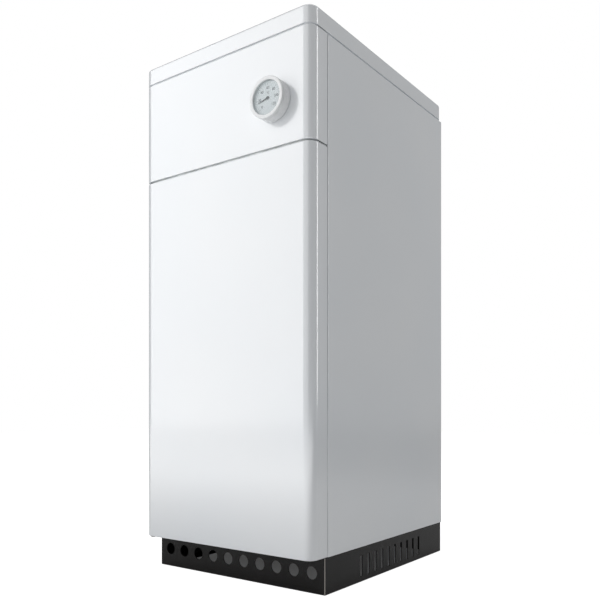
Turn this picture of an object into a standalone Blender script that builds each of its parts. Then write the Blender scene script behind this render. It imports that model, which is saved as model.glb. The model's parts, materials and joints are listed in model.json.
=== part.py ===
"""A floor standing gas boiler: steel casing with a swinging door, water jacket, burner and gas control.

Metres, +Z up. The front faces -Y and the plinth stands on z = 0. The origin is on the floor under the
middle of the whole object, which reaches from the thermometer in front to the pipe ends behind.
Depths are measured back from the casing's front face, and behind() turns one into a Y coordinate.
"""

import math

import bmesh
import bpy
from mathutils import Vector

# Clearances
touch_gap = 0.0003
running_gap = 0.0003
pipe_hole_gap = 0.0015
overrun = 0.004

# Sheet thicknesses
casing_sheet = 0.0012
frame_sheet = 0.0015

# Facets of round pieces
corner_steps = 6
large_round_sides = 32
round_sides = 20
small_round_sides = 10
lead_sides = 8
pipe_bend_steps = 4
route_steps = 3

# Casing
casing_height = 0.850
casing_width = 0.350
casing_depth = 0.430
front_corner_radius = 0.020
wrap_depth = 0.0392
side_seam = 0.0020
lid_seam = 0.0020
door_seam = 0.0025
control_panel_height = 0.1665
front_fold_depth = 0.0178
side_fold_width = 0.014

# Lid
lid_height = 0.027
lid_rear_corner_radius = 0.014
lid_edge_radius = 0.008
lid_edge_steps = 3
lid_lip_inset = 0.003

# Plinth
plinth_height = 0.055
plinth_setback = 0.0355
plinth_side_inset = 0.0015
plinth_back_inset = 0.001
plinth_fold = 0.015
air_hole_radius = 0.0097
air_hole_end_margin = 0.0241
air_hole_count = 10
air_hole_z = 0.030
air_slot_width = 0.006
air_slot_length = 0.033
air_slot_pitch = 0.022
air_slot_count = 10
air_slot_row_offset = 0.0045
air_slot_z = 0.025

# Door hinge and catch
hinge_from_side = 0.009
hinge_from_front = 0.011
hinge_pin_radius = 0.002
hinge_pin_length = 0.010
hinge_pin_head_radius = 0.0038
hinge_pin_head = 0.0010
hinge_tongue_half_width = 0.0045
hinge_swing_room = 0.0015
catch_width = 0.030
catch_height = 0.016
catch_from_side = 0.040
strike_width = 0.024
strike_drop = 0.018
strike_foot = 0.014

# Floor tray and front rail
tray_rim = 0.018
tray_air_side_margin = 0.027
tray_air_margin = 0.022
rail_front_inset = 0.0025
rail_web_height = 0.030

# Water heat exchanger
rear_space = 0.035
hood_space = 0.131
water_wall = 0.003
water_gap = 0.022
fire_chamber_height = 0.230
flue_slot_count = 3
flue_slot_share = 0.545
flue_bank_margin = 0.0335
flue_slot_side_margin = 0.040
turbulator_sheet = 0.0015
turbulator_side_gap = 0.005
turbulator_wave_share = 0.61
turbulator_wave_count = 6
turbulator_bottom_gap = 0.010
turbulator_lug = 0.005
insulation_thickness = 0.015
insulation_bottom_gap = 0.010
insulation_top_gap = 0.010

# Water pipes
water_pipe_radius = 0.0212
water_pipe_wall = 0.0032
water_pipe_from_side = 0.065
water_pipe_reach = 0.035
supply_below_top = 0.040
return_above_bottom = 0.040

# Flue hood and outlet
hood_height = 0.100
relief_side_margin = 0.035
relief_height = 0.045
relief_above_bottom = 0.012
relief_window_margin = 0.006
flue_radius = 0.059
flue_wall = 0.0015
flue_flange_width = 0.011
flue_height_above_lid = 0.040
flue_from_hood_back = 0.075
lid_hole_gap = 0.005
cleaning_side_margin = 0.037
cleaning_from_hood_front = 0.015
cleaning_from_collar = 0.012
cleaning_overlap = 0.007
draught_sensor_radius = 0.012
draught_sensor_height = 0.010
draught_sensor_z_share = 0.55

# Sensor pocket
pocket_from_side = 0.065
pocket_below_top = 0.035
pocket_radius = 0.011
pocket_stem_radius = 0.0088
pocket_head = 0.006
pocket_end_gap = 0.001
pocket_bore_radius = 0.0032
pocket_bore_offset = 0.0045
bulb_depth = 0.035
bulb_radius = 0.0027
capillary_radius = 0.0012

# Burner chamber and burner
chamber_height = 0.143
chamber_window_side_margin = 0.007
chamber_window_margin = 0.010
burner_axis_above_tray = 0.063
plate_thickness = 0.003
plate_side_margin = 0.013
plate_below_axis = 0.050
plate_above_axis = 0.070
plate_screw_side_margin = 0.007
plate_screw_margin = 0.009
plate_screw_tab_gap = 0.003
plate_screw_radius = 0.0025
plate_screw_head_radius = 0.005
plate_screw_head = 0.004
plate_screw_grip = 0.0035
burner_count = 3
burner_wall = 0.0015
burner_mouth_radius = 0.012
burner_throat_radius = 0.009
burner_half_width = 0.012
burner_half_height = 0.020
burner_mouth_reach = 0.022
burner_rear_gap = 0.020
burner_sides = 14
burner_mouth_share = 0.094
burner_throat_share = 0.194
burner_body_share = 0.36
burner_slot_count = 8
burner_slot_width = 0.002
burner_slot_half_length = 0.007

# Gas manifold and injectors
manifold_size = 0.018
manifold_side_margin = 0.017
manifold_wall = 0.003
manifold_before_bay = 0.049
manifold_tab_thickness = 0.002
manifold_tab_foot = 0.013
manifold_tab_height = 0.012
injector_radius = 0.005
injector_body = 0.009
injector_nose_radius = 0.0028
injector_nose = 0.004
injector_stem_radius = 0.0032
injector_bore_radius = 0.0009

# Gas valve, knob and bracket
valve_left = 0.050
valve_right = 0.040
valve_depth = 0.058
valve_height = 0.085
valve_above_axis = 0.115
valve_edge = 0.004
bay_behind_bracket = 0.0318
bracket_sheet = 0.0015
bracket_left_margin = 0.010
bracket_right_margin = 0.016
bracket_top_reach = 0.010
bracket_tab_drop = 0.012
bracket_tab_above_plate = 0.0065
valve_boss_radius = 0.011
valve_boss_reach = 0.010
valve_face_boss_radius = 0.018
valve_face_boss_reach = 0.006
outlet_x = -0.020
outlet_pipe_radius = 0.008
outlet_pipe_wall = 0.0015
valve_pipe_bore_depth = 0.012
spindle_radius = 0.004
spindle_bore_depth = 0.030
knob_from_front = 0.0126
knob_radius = 0.020
knob_thickness = 0.016
knob_push = 0.005
knob_edge = 0.0015
knob_seat_depth = 0.011
knob_grip_half_width = 0.004
knob_grip_height = 0.005
knob_grip_margin = 0.003

# Gas inlet pipe
gas_pipe_radius = 0.0085
gas_pipe_wall = 0.002
gas_pipe_fold_gap = 0.0025
gas_pipe_wool_gap = 0.0012
gas_pipe_reach = 0.030
gas_pipe_bend = 0.022

# Piezo igniter
piezo_from_valve = 0.022
piezo_z_share = 0.65
piezo_radius = 0.011
piezo_length = 0.038
piezo_neck_radius = 0.007
piezo_neck_length = 0.008
piezo_button_radius = 0.007
piezo_button_length = 0.016
piezo_button_proud = 0.007
piezo_push = 0.005

# Pilot burner, thermocouple and electrode
pilot_side_reach = 0.0120
pilot_sheet = 0.002
pilot_base_height = 0.022
pilot_shelf_reach = 0.035
pilot_above_axis = 0.008
pilot_head_radius = 0.0045
pilot_head_height = 0.020
pilot_head_depth = 0.026
lead_pitch = 0.0075
lead_hole_above_axis = -0.012
lead_hole_radius = 0.0032
pilot_pipe_radius = 0.0020
thermocouple_tip_radius = 0.0025
thermocouple_lead_radius = 0.0012
electrode_tip_radius = 0.0028
electrode_lead_radius = 0.0015
tip_above_shelf = 0.022
riser_before_bay = 0.018
crossing_above_axis = 0.030
lead_end_from_valve_front = 0.020
lead_bend = 0.005
lead_end_spacing = 0.012

# Sight glass and shutter
sight_above_axis = 0.025
sight_hole_radius = 0.0100
sight_glass_radius = 0.0130
sight_glass_thickness = 0.0015
shutter_radius = 0.0145
shutter_sheet = 0.0012
shutter_arm = 0.017
shutter_arm_half_width = 0.004
shutter_pin_radius = 0.002

# Thermometer
gauge_from_side = 0.0680
gauge_below_lid = 0.0987
gauge_radius = 0.0305
gauge_reach = 0.0194
gauge_bezel_width = 0.0045
gauge_neck_inset = 0.0005
gauge_neck_depth = 0.016
gauge_wall = 0.002
gauge_bezel_depth = 0.0045
gauge_glass_recess = 0.0012
gauge_glass_thickness = 0.0015
gauge_dial_recess = 0.0048
gauge_dial_thickness = 0.0008
gauge_needle_length = 0.0180
gauge_needle_tail = 0.0035
gauge_needle_half_width = 0.0008
gauge_needle_thickness = 0.0006
gauge_hub_radius = 0.0022
gauge_spindle_radius = 0.0010
gauge_spindle_length = 0.0065
gauge_needle_from_dial = 0.0008
gauge_rest_degrees = 193.6
gauge_bulb_hole_radius = 0.0016
capillary_before_bay = 0.060

# Places that follow from the sizes above
half_width = casing_width / 2
plinth_half_width = half_width - plinth_side_inset
plinth_back_depth = casing_depth - plinth_back_inset
overall_depth = gauge_reach + casing_depth + water_pipe_reach
front_y = gauge_reach - overall_depth / 2
casing_bottom = plinth_height + touch_gap
lid_bottom = casing_height - lid_height
panel_top = lid_bottom - lid_seam
seam_z = lid_bottom - control_panel_height
control_bottom = seam_z + door_seam / 2
door_top = seam_z - door_seam / 2
side_front_depth = wrap_depth + side_seam
side_inner_x = half_width - casing_sheet
back_face_depth = casing_depth - casing_sheet - touch_gap
back_front_depth = back_face_depth - casing_sheet
frame_front_depth = side_front_depth + casing_sheet + touch_gap
frame_back_depth = back_front_depth - touch_gap
frame_half_width = side_inner_x - touch_gap
hinge_x = -half_width + hinge_from_side
tray_top = casing_bottom + frame_sheet
rail_top = control_bottom - touch_gap
rail_bottom = rail_top - frame_sheet
knob_back_depth = knob_from_front + knob_thickness
valve_face_depth = knob_back_depth + knob_push + running_gap
valve_front_depth = valve_face_depth + valve_face_boss_reach
valve_back_depth = valve_front_depth + valve_depth
valve_middle_depth = (valve_front_depth + valve_back_depth) / 2
bracket_face_depth = valve_back_depth + touch_gap
control_bay_depth = bracket_face_depth + bay_behind_bracket
gas_pipe_x = -half_width + side_fold_width + gas_pipe_fold_gap + gas_pipe_radius
insulation_half_width = -gas_pipe_x - gas_pipe_radius - gas_pipe_wool_gap
heater_half_width = insulation_half_width - insulation_thickness - touch_gap
heater_back_depth = casing_depth - rear_space
heater_depth = heater_back_depth - control_bay_depth
chamber_bottom = tray_top + touch_gap
chamber_top = chamber_bottom + chamber_height
heater_bottom = chamber_top + touch_gap
heater_top = panel_top - hood_space
hood_bottom = heater_top + touch_gap
hood_top = hood_bottom + hood_height
water_jacket = water_wall + water_gap + water_wall
flue_slot_pitch = (heater_depth - flue_bank_margin * 2) / flue_slot_count
flue_slot_depth = flue_slot_pitch * flue_slot_share
flue_slot_half_width = heater_half_width - flue_slot_side_margin
first_flue_depth = control_bay_depth + flue_bank_margin + flue_slot_pitch / 2
water_pipe_x = water_pipe_from_side - heater_half_width
supply_z = heater_top - supply_below_top
return_z = heater_bottom + return_above_bottom
flue_depth = heater_back_depth - flue_from_hood_back
flue_top = casing_height + flue_height_above_lid
relief_half_width = heater_half_width - relief_side_margin
cleaning_half_width = heater_half_width - cleaning_side_margin
cleaning_front_depth = control_bay_depth + cleaning_from_hood_front
collar_front_depth = flue_depth - flue_radius - flue_flange_width
cleaning_back_depth = collar_front_depth - cleaning_from_collar - cleaning_overlap
burner_z = tray_top + burner_axis_above_tray
burner_pitch = (heater_half_width - water_jacket) * 2 / burner_count
plate_back_depth = control_bay_depth - touch_gap
plate_front_depth = plate_back_depth - plate_thickness
plate_half_width = heater_half_width - plate_side_margin
plate_screw_x = plate_half_width - plate_screw_side_margin
chamber_window_half_width = plate_screw_x - chamber_window_side_margin
plate_bottom = burner_z - plate_below_axis
plate_top = burner_z + plate_above_axis
bracket_tab_bottom = plate_top - bracket_tab_drop
upper_screw_z = bracket_tab_bottom - plate_screw_tab_gap - plate_screw_head_radius
plate_screw_levels = (plate_bottom + plate_screw_margin, upper_screw_z)
burner_rear_depth = heater_back_depth - frame_sheet - burner_rear_gap
burner_front_depth = control_bay_depth - burner_mouth_reach
manifold_half_length = plate_half_width - manifold_side_margin
manifold_axis_depth = control_bay_depth - manifold_before_bay
manifold_back_depth = manifold_axis_depth + manifold_size / 2
manifold_top = burner_z + manifold_size / 2
valve_bottom = burner_z + valve_above_axis
valve_top = valve_bottom + valve_height
valve_middle_x = (valve_right - valve_left) / 2
valve_middle_z = (valve_bottom + valve_top) / 2
piezo_x = valve_right + piezo_from_valve
piezo_z = valve_bottom + valve_height * piezo_z_share
piezo_back_depth = bracket_face_depth - touch_gap
piezo_front_depth = piezo_back_depth - piezo_length
pilot_x = burner_pitch / 2
riser_depth = control_bay_depth - riser_before_bay
lead_end_depth = valve_front_depth + lead_end_from_valve_front
sight_x = chamber_window_half_width - sight_glass_radius
sight_z = burner_z + sight_above_axis
shutter_z = sight_z + shutter_arm
pocket_x = heater_half_width - pocket_from_side
pocket_z = heater_top - pocket_below_top
pocket_front_depth = control_bay_depth - touch_gap - pocket_head
pocket_end_depth = first_flue_depth - flue_slot_depth / 2 - water_wall - pocket_end_gap
capillary_sag_depth = control_bay_depth - capillary_before_bay
gauge_x = half_width - gauge_from_side
gauge_z = lid_bottom - gauge_below_lid
gauge_dial_radius = gauge_radius - gauge_bezel_width
gauge_neck_radius = gauge_dial_radius - gauge_neck_inset
gauge_dial_depth = gauge_dial_recess - gauge_reach
gauge_needle_depth = gauge_dial_depth - gauge_needle_from_dial


def behind(depth):
    """The Y coordinate of a place at this depth behind the casing's front face."""
    return front_y + depth


def linear(code):
    """An sRGB hex colour as linear red, green, blue and alpha."""
    values = [int(code[start:start + 2], 16) / 255 for start in (1, 3, 5)]
    return [((value + 0.055) / 1.055) ** 2.4 if value > 0.04045 else value / 12.92 for value in values] + [1]


def finish(name, colour, roughness, metallic):
    """A Principled material."""
    material = bpy.data.materials.new(name)
    material.use_nodes = True
    shader = material.node_tree.nodes["Principled BSDF"]
    shader.inputs["Base Color"].default_value = linear(colour)
    shader.inputs["Roughness"].default_value = roughness
    shader.inputs["Metallic"].default_value = metallic
    return material


def white_enamel(name):
    return finish(name, "#E9EDF0", 0.30, 0.0)


def black_enamel(name):
    return finish(name, "#0D0B0A", 0.18, 0.0)


def zinc_plate(name):
    return finish(name, "#B9BCBE", 0.40, 0.9)


def boiler_steel(name):
    return finish(name, "#4A4D50", 0.60, 0.5)


def stainless_steel(name):
    return finish(name, "#A9A7A2", 0.35, 0.9)


def brass(name):
    return finish(name, "#B5924C", 0.35, 0.9)


def copper(name):
    return finish(name, "#B0714F", 0.35, 0.9)


def cast_aluminium(name):
    return finish(name, "#A4A7AA", 0.50, 0.8)


def black_plastic(name):
    return finish(name, "#1B1C1E", 0.45, 0.0)


def white_plastic(name):
    return finish(name, "#F0F1F0", 0.35, 0.0)


def foil_wool(name):
    return finish(name, "#B7B4AC", 0.70, 0.2)


def clear_glass(name):
    return finish(name, "#DDE6E6", 0.05, 0.0)


def solid(name, vertices, faces, finish_of=None, smooth=False):
    """An object from corner points and faces, with its faces turned outwards."""
    mesh = bpy.data.meshes.new(name)
    mesh.from_pydata(vertices, [], faces)
    work = bmesh.new()
    work.from_mesh(mesh)
    bmesh.ops.recalc_face_normals(work, faces=work.faces)
    work.to_mesh(mesh)
    work.free()
    if smooth:
        mesh.shade_smooth()
        mesh.set_sharp_from_angle(angle=math.radians(35))
    thing = bpy.data.objects.new(name, mesh)
    bpy.context.scene.collection.objects.link(thing)
    if finish_of:
        mesh.materials.append(finish_of(name))
    return thing


def boxes(name, pairs, finish_of=None):
    """One object that holds a box for each pair of low and high corners."""
    vertices = []
    faces = []
    for low, high in pairs:
        base = len(vertices)
        levels = (low[2], high[2])
        vertices += [(x, y, z) for x in (low[0], high[0]) for y in (low[1], high[1]) for z in levels]
        sides = ((0, 1, 3, 2), (4, 6, 7, 5), (0, 4, 5, 1), (2, 3, 7, 6), (0, 2, 6, 4), (1, 5, 7, 3))
        faces += [tuple(base + corner for corner in side) for side in sides]
    return solid(name, vertices, faces, finish_of)


def box(name, low, high, finish_of=None):
    return boxes(name, [(low, high)], finish_of)


def loft(name, rings, finish_of=None, closed=False, smooth=False):
    """A skin over rings of equal count, capped at both ends, or joined end to start where it is closed."""
    count = len(rings[0])
    vertices = [point for ring in rings for point in ring]
    spans = len(rings) if closed else len(rings) - 1
    faces = []
    for span in range(spans):
        here = span * count
        there = (span + 1) % len(rings) * count
        for side in range(count):
            after = (side + 1) % count
            faces.append((here + side, here + after, there + after, there + side))
    if not closed:
        faces.append(tuple(range(count)))
        faces.append(tuple(range(len(vertices) - count, len(vertices))))
    return solid(name, vertices, faces, finish_of, smooth)


def place(along, point, distance):
    """A point of a plane outline, in X, Y, Z order, set at a distance along the axis it lacks."""
    if along == "X":
        return (distance, point[0], point[1])
    if along == "Y":
        return (point[0], distance, point[1])
    return (point[0], point[1], distance)


def prism(name, outline, start, end, along, finish_of=None, smooth=False):
    """An outline drawn out along X, Y or Z."""
    rings = [[place(along, point, distance) for point in outline] for distance in (start, end)]
    return loft(name, rings, finish_of, smooth=smooth)


def circle(centre, radius, sides):
    angles = [2 * math.pi * side / sides for side in range(sides)]
    return [(centre[0] + radius * math.cos(angle), centre[1] + radius * math.sin(angle)) for angle in angles]


def turned(name, centre, profile, along, sides, finish_of=None, closed=False):
    """A turned piece: profile points are (radius, distance along the axis)."""
    rings = []
    for radius, distance in profile:
        rings.append([place(along, point, distance) for point in circle(centre, radius, sides)])
    return loft(name, rings, finish_of, closed, smooth=True)


def tube(name, centre, radius, wall, start, end, along, sides, finish_of=None):
    """A straight open pipe."""
    profile = [(radius, start), (radius, end), (radius - wall, end), (radius - wall, start)]
    return turned(name, centre, profile, along, sides, finish_of, closed=True)


def rods(name, centres, radius, start, end, along, sides):
    """One cutter object that holds a rod for each centre."""
    vertices = []
    faces = []
    for centre in centres:
        base = len(vertices)
        for distance in (start, end):
            vertices += [place(along, point, distance) for point in circle(centre, radius, sides)]
        faces.append(tuple(base + side for side in range(sides)))
        faces.append(tuple(base + sides + side for side in range(sides)))
        for side in range(sides):
            after = (side + 1) % sides
            faces.append((base + side, base + after, base + sides + after, base + sides + side))
    return solid(name, vertices, faces)


def holes(name, centres, radius, start, end, along, sides):
    """Rods that run clear through a wall that lies from start to end."""
    return rods(name, centres, radius, start - overrun, end + overrun, along, sides)


def sweep(name, route, radii, sides, finish_of=None, wall=0):
    """A round rod or, with a wall, an open pipe that follows a route of points."""
    points = [Vector(point) for point in route]
    tangent = (points[1] - points[0]).normalized()
    across = tangent.orthogonal().normalized()
    outer = []
    inner = []
    turns = [2 * math.pi * side / sides for side in range(sides)]
    for index, point in enumerate(points):
        before = points[max(index - 1, 0)]
        after = points[min(index + 1, len(points) - 1)]
        turned_tangent = (after - before).normalized()
        across = (tangent.rotation_difference(turned_tangent) @ across).normalized()
        tangent = turned_tangent
        upright = tangent.cross(across)
        radius = radii[index]
        for ring, reach in ((outer, radius), (inner, radius - wall)):
            spokes = [across * math.cos(turn) + upright * math.sin(turn) for turn in turns]
            ring.append([point + spoke * reach for spoke in spokes])
    if wall:
        return loft(name, outer + inner[::-1], finish_of, closed=True, smooth=True)
    return loft(name, outer, finish_of, smooth=True)


def bent_route(corners, bend):
    """A pipe's middle line: straight runs with a round bend at each corner."""
    points = [Vector(corners[0])]
    for before, corner, after in zip(corners, corners[1:], corners[2:]):
        corner = Vector(corner)
        start = corner + (Vector(before) - corner).normalized() * bend
        end = corner + (Vector(after) - corner).normalized() * bend
        middle = start + end - corner
        for step in range(pipe_bend_steps + 1):
            angle = math.pi / 2 * step / pipe_bend_steps
            points.append(middle + (start - middle) * math.cos(angle) + (end - middle) * math.sin(angle))
    points.append(Vector(corners[-1]))
    return points


def smooth_route(points):
    """A soft line through the points, straight at neither end."""
    knots = [Vector(point) for point in points]
    route = []
    for index in range(len(knots) - 1):
        before = knots[max(index - 1, 0)]
        start = knots[index]
        end = knots[index + 1]
        after = knots[min(index + 2, len(knots) - 1)]
        for step in range(route_steps):
            share = step / route_steps
            pull = (end - before) * share + (before * 2 - start * 5 + end * 4 - after) * share ** 2
            pull += (start * 3 - before - end * 3 + after) * share ** 3
            route.append(start + pull / 2)
    route.append(knots[-1])
    return route


def strip_outline(middle_line, thickness):
    """The section of a folded sheet whose middle line runs through the points."""
    points = [Vector(point) for point in middle_line]
    one_side = []
    other_side = []
    for index, point in enumerate(points):
        coming = point - points[index - 1] if index else points[1] - point
        going = points[index + 1] - point if index + 1 < len(points) else coming
        coming_normal = Vector((-coming.y, coming.x)).normalized()
        going_normal = Vector((-going.y, going.x)).normalized()
        mitre = (coming_normal + going_normal).normalized()
        reach = mitre * (thickness / 2 / mitre.dot(coming_normal))
        one_side.append(tuple(point + reach))
        other_side.append(tuple(point - reach))
    return one_side + other_side[::-1]


def combine(target, other, operation):
    """Cuts another shape out of the target or adds it, and keeps that shape as a guide."""
    other.hide_render = True
    other.display_type = "WIRE"
    modifier = target.modifiers.new(other.name, "BOOLEAN")
    modifier.operation = operation
    modifier.solver = "EXACT"
    modifier.object = other


def cut(target, *others):
    for other in others:
        combine(target, other, "DIFFERENCE")


def add(target, *others):
    for other in others:
        combine(target, other, "UNION")


def round_edges(target, width):
    modifier = target.modifiers.new("edge", "BEVEL")
    modifier.width = width
    modifier.segments = 2
    modifier.limit_method = "ANGLE"


def pivot_at(thing, point):
    """Moves an object's origin to a point on its joint's axis and leaves the shape where it is."""
    origin = Vector(point)
    for vertex in thing.data.vertices:
        vertex.co -= origin
    thing.location = origin


def arc(centre, radius, from_degrees, to_degrees, steps):
    points = []
    for step in range(steps + 1):
        angle = math.radians(from_degrees + (to_degrees - from_degrees) * step / steps)
        points.append((centre[0] + radius * math.cos(angle), centre[1] + radius * math.sin(angle)))
    return points


def front_outline(inset, back_depth):
    """Plan of the casing's front, drawn in by an inset: two round corners and an open back."""
    middle_x = half_width - front_corner_radius
    middle_y = behind(front_corner_radius)
    radius = front_corner_radius - inset
    outline = [(-half_width + inset, behind(back_depth))]
    outline += arc((-middle_x, middle_y), radius, 180, 270, corner_steps)
    outline += arc((middle_x, middle_y), radius, 270, 360, corner_steps)
    outline.append((half_width - inset, behind(back_depth)))
    return outline


def lid_outline(inset):
    """Plan of the lid, drawn in by an inset: larger corners in front than behind."""
    outline = []
    corners = ((-1, 0, front_corner_radius, 180), (1, 0, front_corner_radius, 270))
    corners += ((1, 1, lid_rear_corner_radius, 0), (-1, 1, lid_rear_corner_radius, 90))
    for side, rear, radius, start in corners:
        middle_x = side * (half_width - radius)
        middle_y = behind(casing_depth - radius) if rear else behind(radius)
        outline += arc((middle_x, middle_y), radius - inset, start, start + 90, corner_steps)
    return outline


def make_plinth():
    """Black base frame with air holes, folded in at top and bottom, with a tongue for the door's pin."""
    half = plinth_half_width
    front = behind(plinth_setback)
    back = behind(plinth_back_depth)
    plinth = box("plinth", (-half, front, 0), (half, back, plinth_height), black_enamel)
    sheet = frame_sheet
    hollow = box("plinth hollow", (-half + sheet, front + sheet, sheet),
                 (half - sheet, back - sheet, plinth_height - sheet))
    fold = plinth_fold
    window = box("plinth window", (-half + fold, front + fold, -overrun),
                 (half - fold, back - fold, plinth_height + overrun))
    first_hole = air_hole_end_margin - half
    hole_pitch = -first_hole * 2 / (air_hole_count - 1)
    centres = [(first_hole + hole_pitch * index, air_hole_z) for index in range(air_hole_count)]
    air_holes = holes("air holes", centres, air_hole_radius, front, front + sheet, "Y", round_sides)
    first_slot = (front + back) / 2 + air_slot_row_offset - air_slot_pitch * (air_slot_count - 1) / 2
    slots = []
    for index in range(air_slot_count):
        middle = first_slot + air_slot_pitch * index
        low = (-half - overrun, middle - air_slot_width / 2, air_slot_z - air_slot_length / 2)
        high = (half + overrun, middle + air_slot_width / 2, air_slot_z + air_slot_length / 2)
        slots.append((low, high))
    cut(plinth, hollow, window, air_holes, boxes("air slots", slots))
    pivot = (hinge_x, behind(hinge_from_front))
    outline = arc(pivot, hinge_tongue_half_width, 180, 360, corner_steps)
    outline.append((hinge_x + hinge_tongue_half_width, front + fold / 2))
    outline.append((hinge_x - hinge_tongue_half_width, front + fold / 2))
    tongue = prism("hinge tongue", outline, plinth_height - sheet, plinth_height, "Z")
    add(plinth, tongue)
    pin_hole = holes("tongue hole", [pivot], hinge_pin_radius + running_gap, plinth_height - sheet,
                     plinth_height, "Z", small_round_sides)
    cut(plinth, pin_hole)


def make_base_tray():
    """Casing floor with a raised rim and the opening that lets air up to the burner."""
    half = frame_half_width
    front = behind(frame_front_depth)
    back = behind(frame_back_depth)
    tray = box("base_tray", (-half, front, casing_bottom), (half, back, casing_bottom + tray_rim), zinc_plate)
    hollow = box("tray hollow", (-half + frame_sheet, front + frame_sheet, tray_top),
                 (half - frame_sheet, back - frame_sheet, casing_bottom + tray_rim + overrun))
    air_half = heater_half_width - tray_air_side_margin
    window = box("tray window", (-air_half, behind(control_bay_depth + tray_air_margin), -overrun),
                 (air_half, behind(heater_back_depth - tray_air_margin), tray_top + overrun))
    cut(tray, hollow, window)


def make_side_panel(name, side):
    """Outer side sheet with folds at its front, rear and top edges."""
    low_x, high_x = sorted((side * (half_width - side_fold_width), side * half_width))
    front = behind(side_front_depth)
    back = behind(casing_depth)
    panel = box(name, (low_x, front, casing_bottom), (high_x, back, panel_top), white_enamel)
    inner_low, inner_high = sorted((side * (half_width - side_fold_width - overrun), side * side_inner_x))
    hollow = box(name + " hollow", (inner_low, front + casing_sheet, casing_bottom - overrun),
                 (inner_high, back - casing_sheet, panel_top - casing_sheet))
    cut(panel, hollow)


def make_back_panel():
    """Rear sheet with a top fold, the draught relief window and holes for the pipes."""
    half = frame_half_width
    back = behind(back_face_depth)
    front = behind(back_front_depth)
    panel = box("back_panel", (-half, front, casing_bottom), (half, back, panel_top - casing_sheet),
                zinc_plate)
    fold_half = half - side_fold_width
    fold = box("back fold", (-fold_half, front - side_fold_width, panel_top - casing_sheet * 2),
               (fold_half, back, panel_top))
    add(panel, fold)
    relief_low = hood_bottom + relief_above_bottom - relief_window_margin
    relief_half = relief_half_width + relief_window_margin
    relief = box("relief window", (-relief_half, front - overrun, relief_low),
                 (relief_half, back + overrun, relief_low + relief_height + relief_window_margin * 2))
    water_holes = holes("water pipe holes", [(water_pipe_x, supply_z), (water_pipe_x, return_z)],
                        water_pipe_radius + pipe_hole_gap, front, back, "Y", round_sides)
    gas_hole = holes("gas pipe hole", [(gas_pipe_x, valve_middle_z)], gas_pipe_radius + touch_gap,
                     front, back, "Y", round_sides)
    cut(panel, relief, water_holes, gas_hole)


def make_top_lid():
    """Pressed lid with a rounded top edge and a rolled lip that rests on the panels' folds."""
    radius = lid_edge_radius
    inner_radius = radius - casing_sheet
    lip = lid_lip_inset + casing_sheet
    inner_top = casing_height - casing_sheet
    turns = [math.pi / 2 * step / lid_edge_steps for step in range(lid_edge_steps + 1)]
    levels = []
    for turn in reversed(turns):
        inset = casing_sheet + inner_radius * (1 - math.cos(turn))
        levels.append((inset, inner_top - inner_radius * (1 - math.sin(turn))))
    levels.append((casing_sheet, lid_bottom + casing_sheet))
    levels.append((lip, lid_bottom + casing_sheet))
    levels.append((lip, panel_top + touch_gap))
    levels.append((lid_lip_inset, panel_top + touch_gap))
    levels.append((lid_lip_inset, lid_bottom))
    levels.append((0, lid_bottom))
    for turn in turns:
        levels.append((radius * (1 - math.cos(turn)), casing_height - radius * (1 - math.sin(turn))))
    rings = [[(x, y, level) for x, y in lid_outline(inset)] for inset, level in levels]
    lid = loft("top_lid", rings, white_enamel, smooth=True)
    hole = holes("flue hole", [(0, behind(flue_depth))], flue_radius + lid_hole_gap, inner_top,
                 casing_height, "Z", large_round_sides)
    cut(lid, hole)


def front_shell(name, bottom, top):
    """A front sheet that wraps round both corners, with a fold along its top and bottom edges."""
    shell = prism(name, front_outline(0, wrap_depth), bottom, top, "Z", white_enamel, smooth=True)
    hollow = prism(name + " hollow", front_outline(casing_sheet, wrap_depth + overrun),
                   bottom + casing_sheet, top - casing_sheet, "Z")
    window = box(name + " window", (-side_inner_x, behind(front_fold_depth), bottom - overrun),
                 (side_inner_x, behind(wrap_depth + overrun), top + overrun))
    cut(shell, hollow, window)
    return shell


def make_control_panel():
    """Fixed upper front with the thermometer's hole."""
    panel = front_shell("control_panel", control_bottom, panel_top)
    gauge_hole = holes("gauge hole", [(gauge_x, gauge_z)], gauge_neck_radius + touch_gap, behind(0),
                       behind(casing_sheet), "Y", large_round_sides)
    pin_room = holes("pin room", [(hinge_x, behind(hinge_from_front))], hinge_pin_head_radius + running_gap,
                     control_bottom, control_bottom + casing_sheet, "Z", small_round_sides)
    cut(panel, gauge_hole, pin_room)


def make_door():
    """Front door, whose folds turn on the two hinge pins."""
    door = front_shell("door", casing_bottom, door_top)
    pivot = (hinge_x, behind(hinge_from_front))
    for name, level in (("upper pin hole", door_top), ("lower pin hole", casing_bottom)):
        hole = holes(name, [pivot], hinge_pin_radius + running_gap, level - casing_sheet,
                     level + casing_sheet, "Z", small_round_sides)
        cut(door, hole)
    pivot_at(door, (pivot[0], pivot[1], seam_z))


def make_front_rail():
    """Shelf between control panel and door, with a web that is fixed behind the side panels' folds."""
    shelf_back = side_front_depth - touch_gap
    shelf = front_outline(rail_front_inset, shelf_back)
    rail = prism("front_rail", shelf, rail_bottom, rail_top, "Z", zinc_plate)
    neck_half = half_width - side_fold_width - touch_gap
    web_back = behind(frame_front_depth + frame_sheet)
    neck = box("rail neck", (-neck_half, behind(shelf_back - overrun), rail_bottom),
               (neck_half, web_back, rail_top))
    web = box("rail web", (-frame_half_width, behind(frame_front_depth), rail_top - rail_web_height),
              (frame_half_width, web_back, rail_top))
    add(rail, neck, web)
    pin_hole = holes("rail pin hole", [(hinge_x, behind(hinge_from_front))], hinge_pin_radius + touch_gap,
                     rail_bottom, rail_top, "Z", small_round_sides)
    cut(rail, pin_hole)


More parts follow.
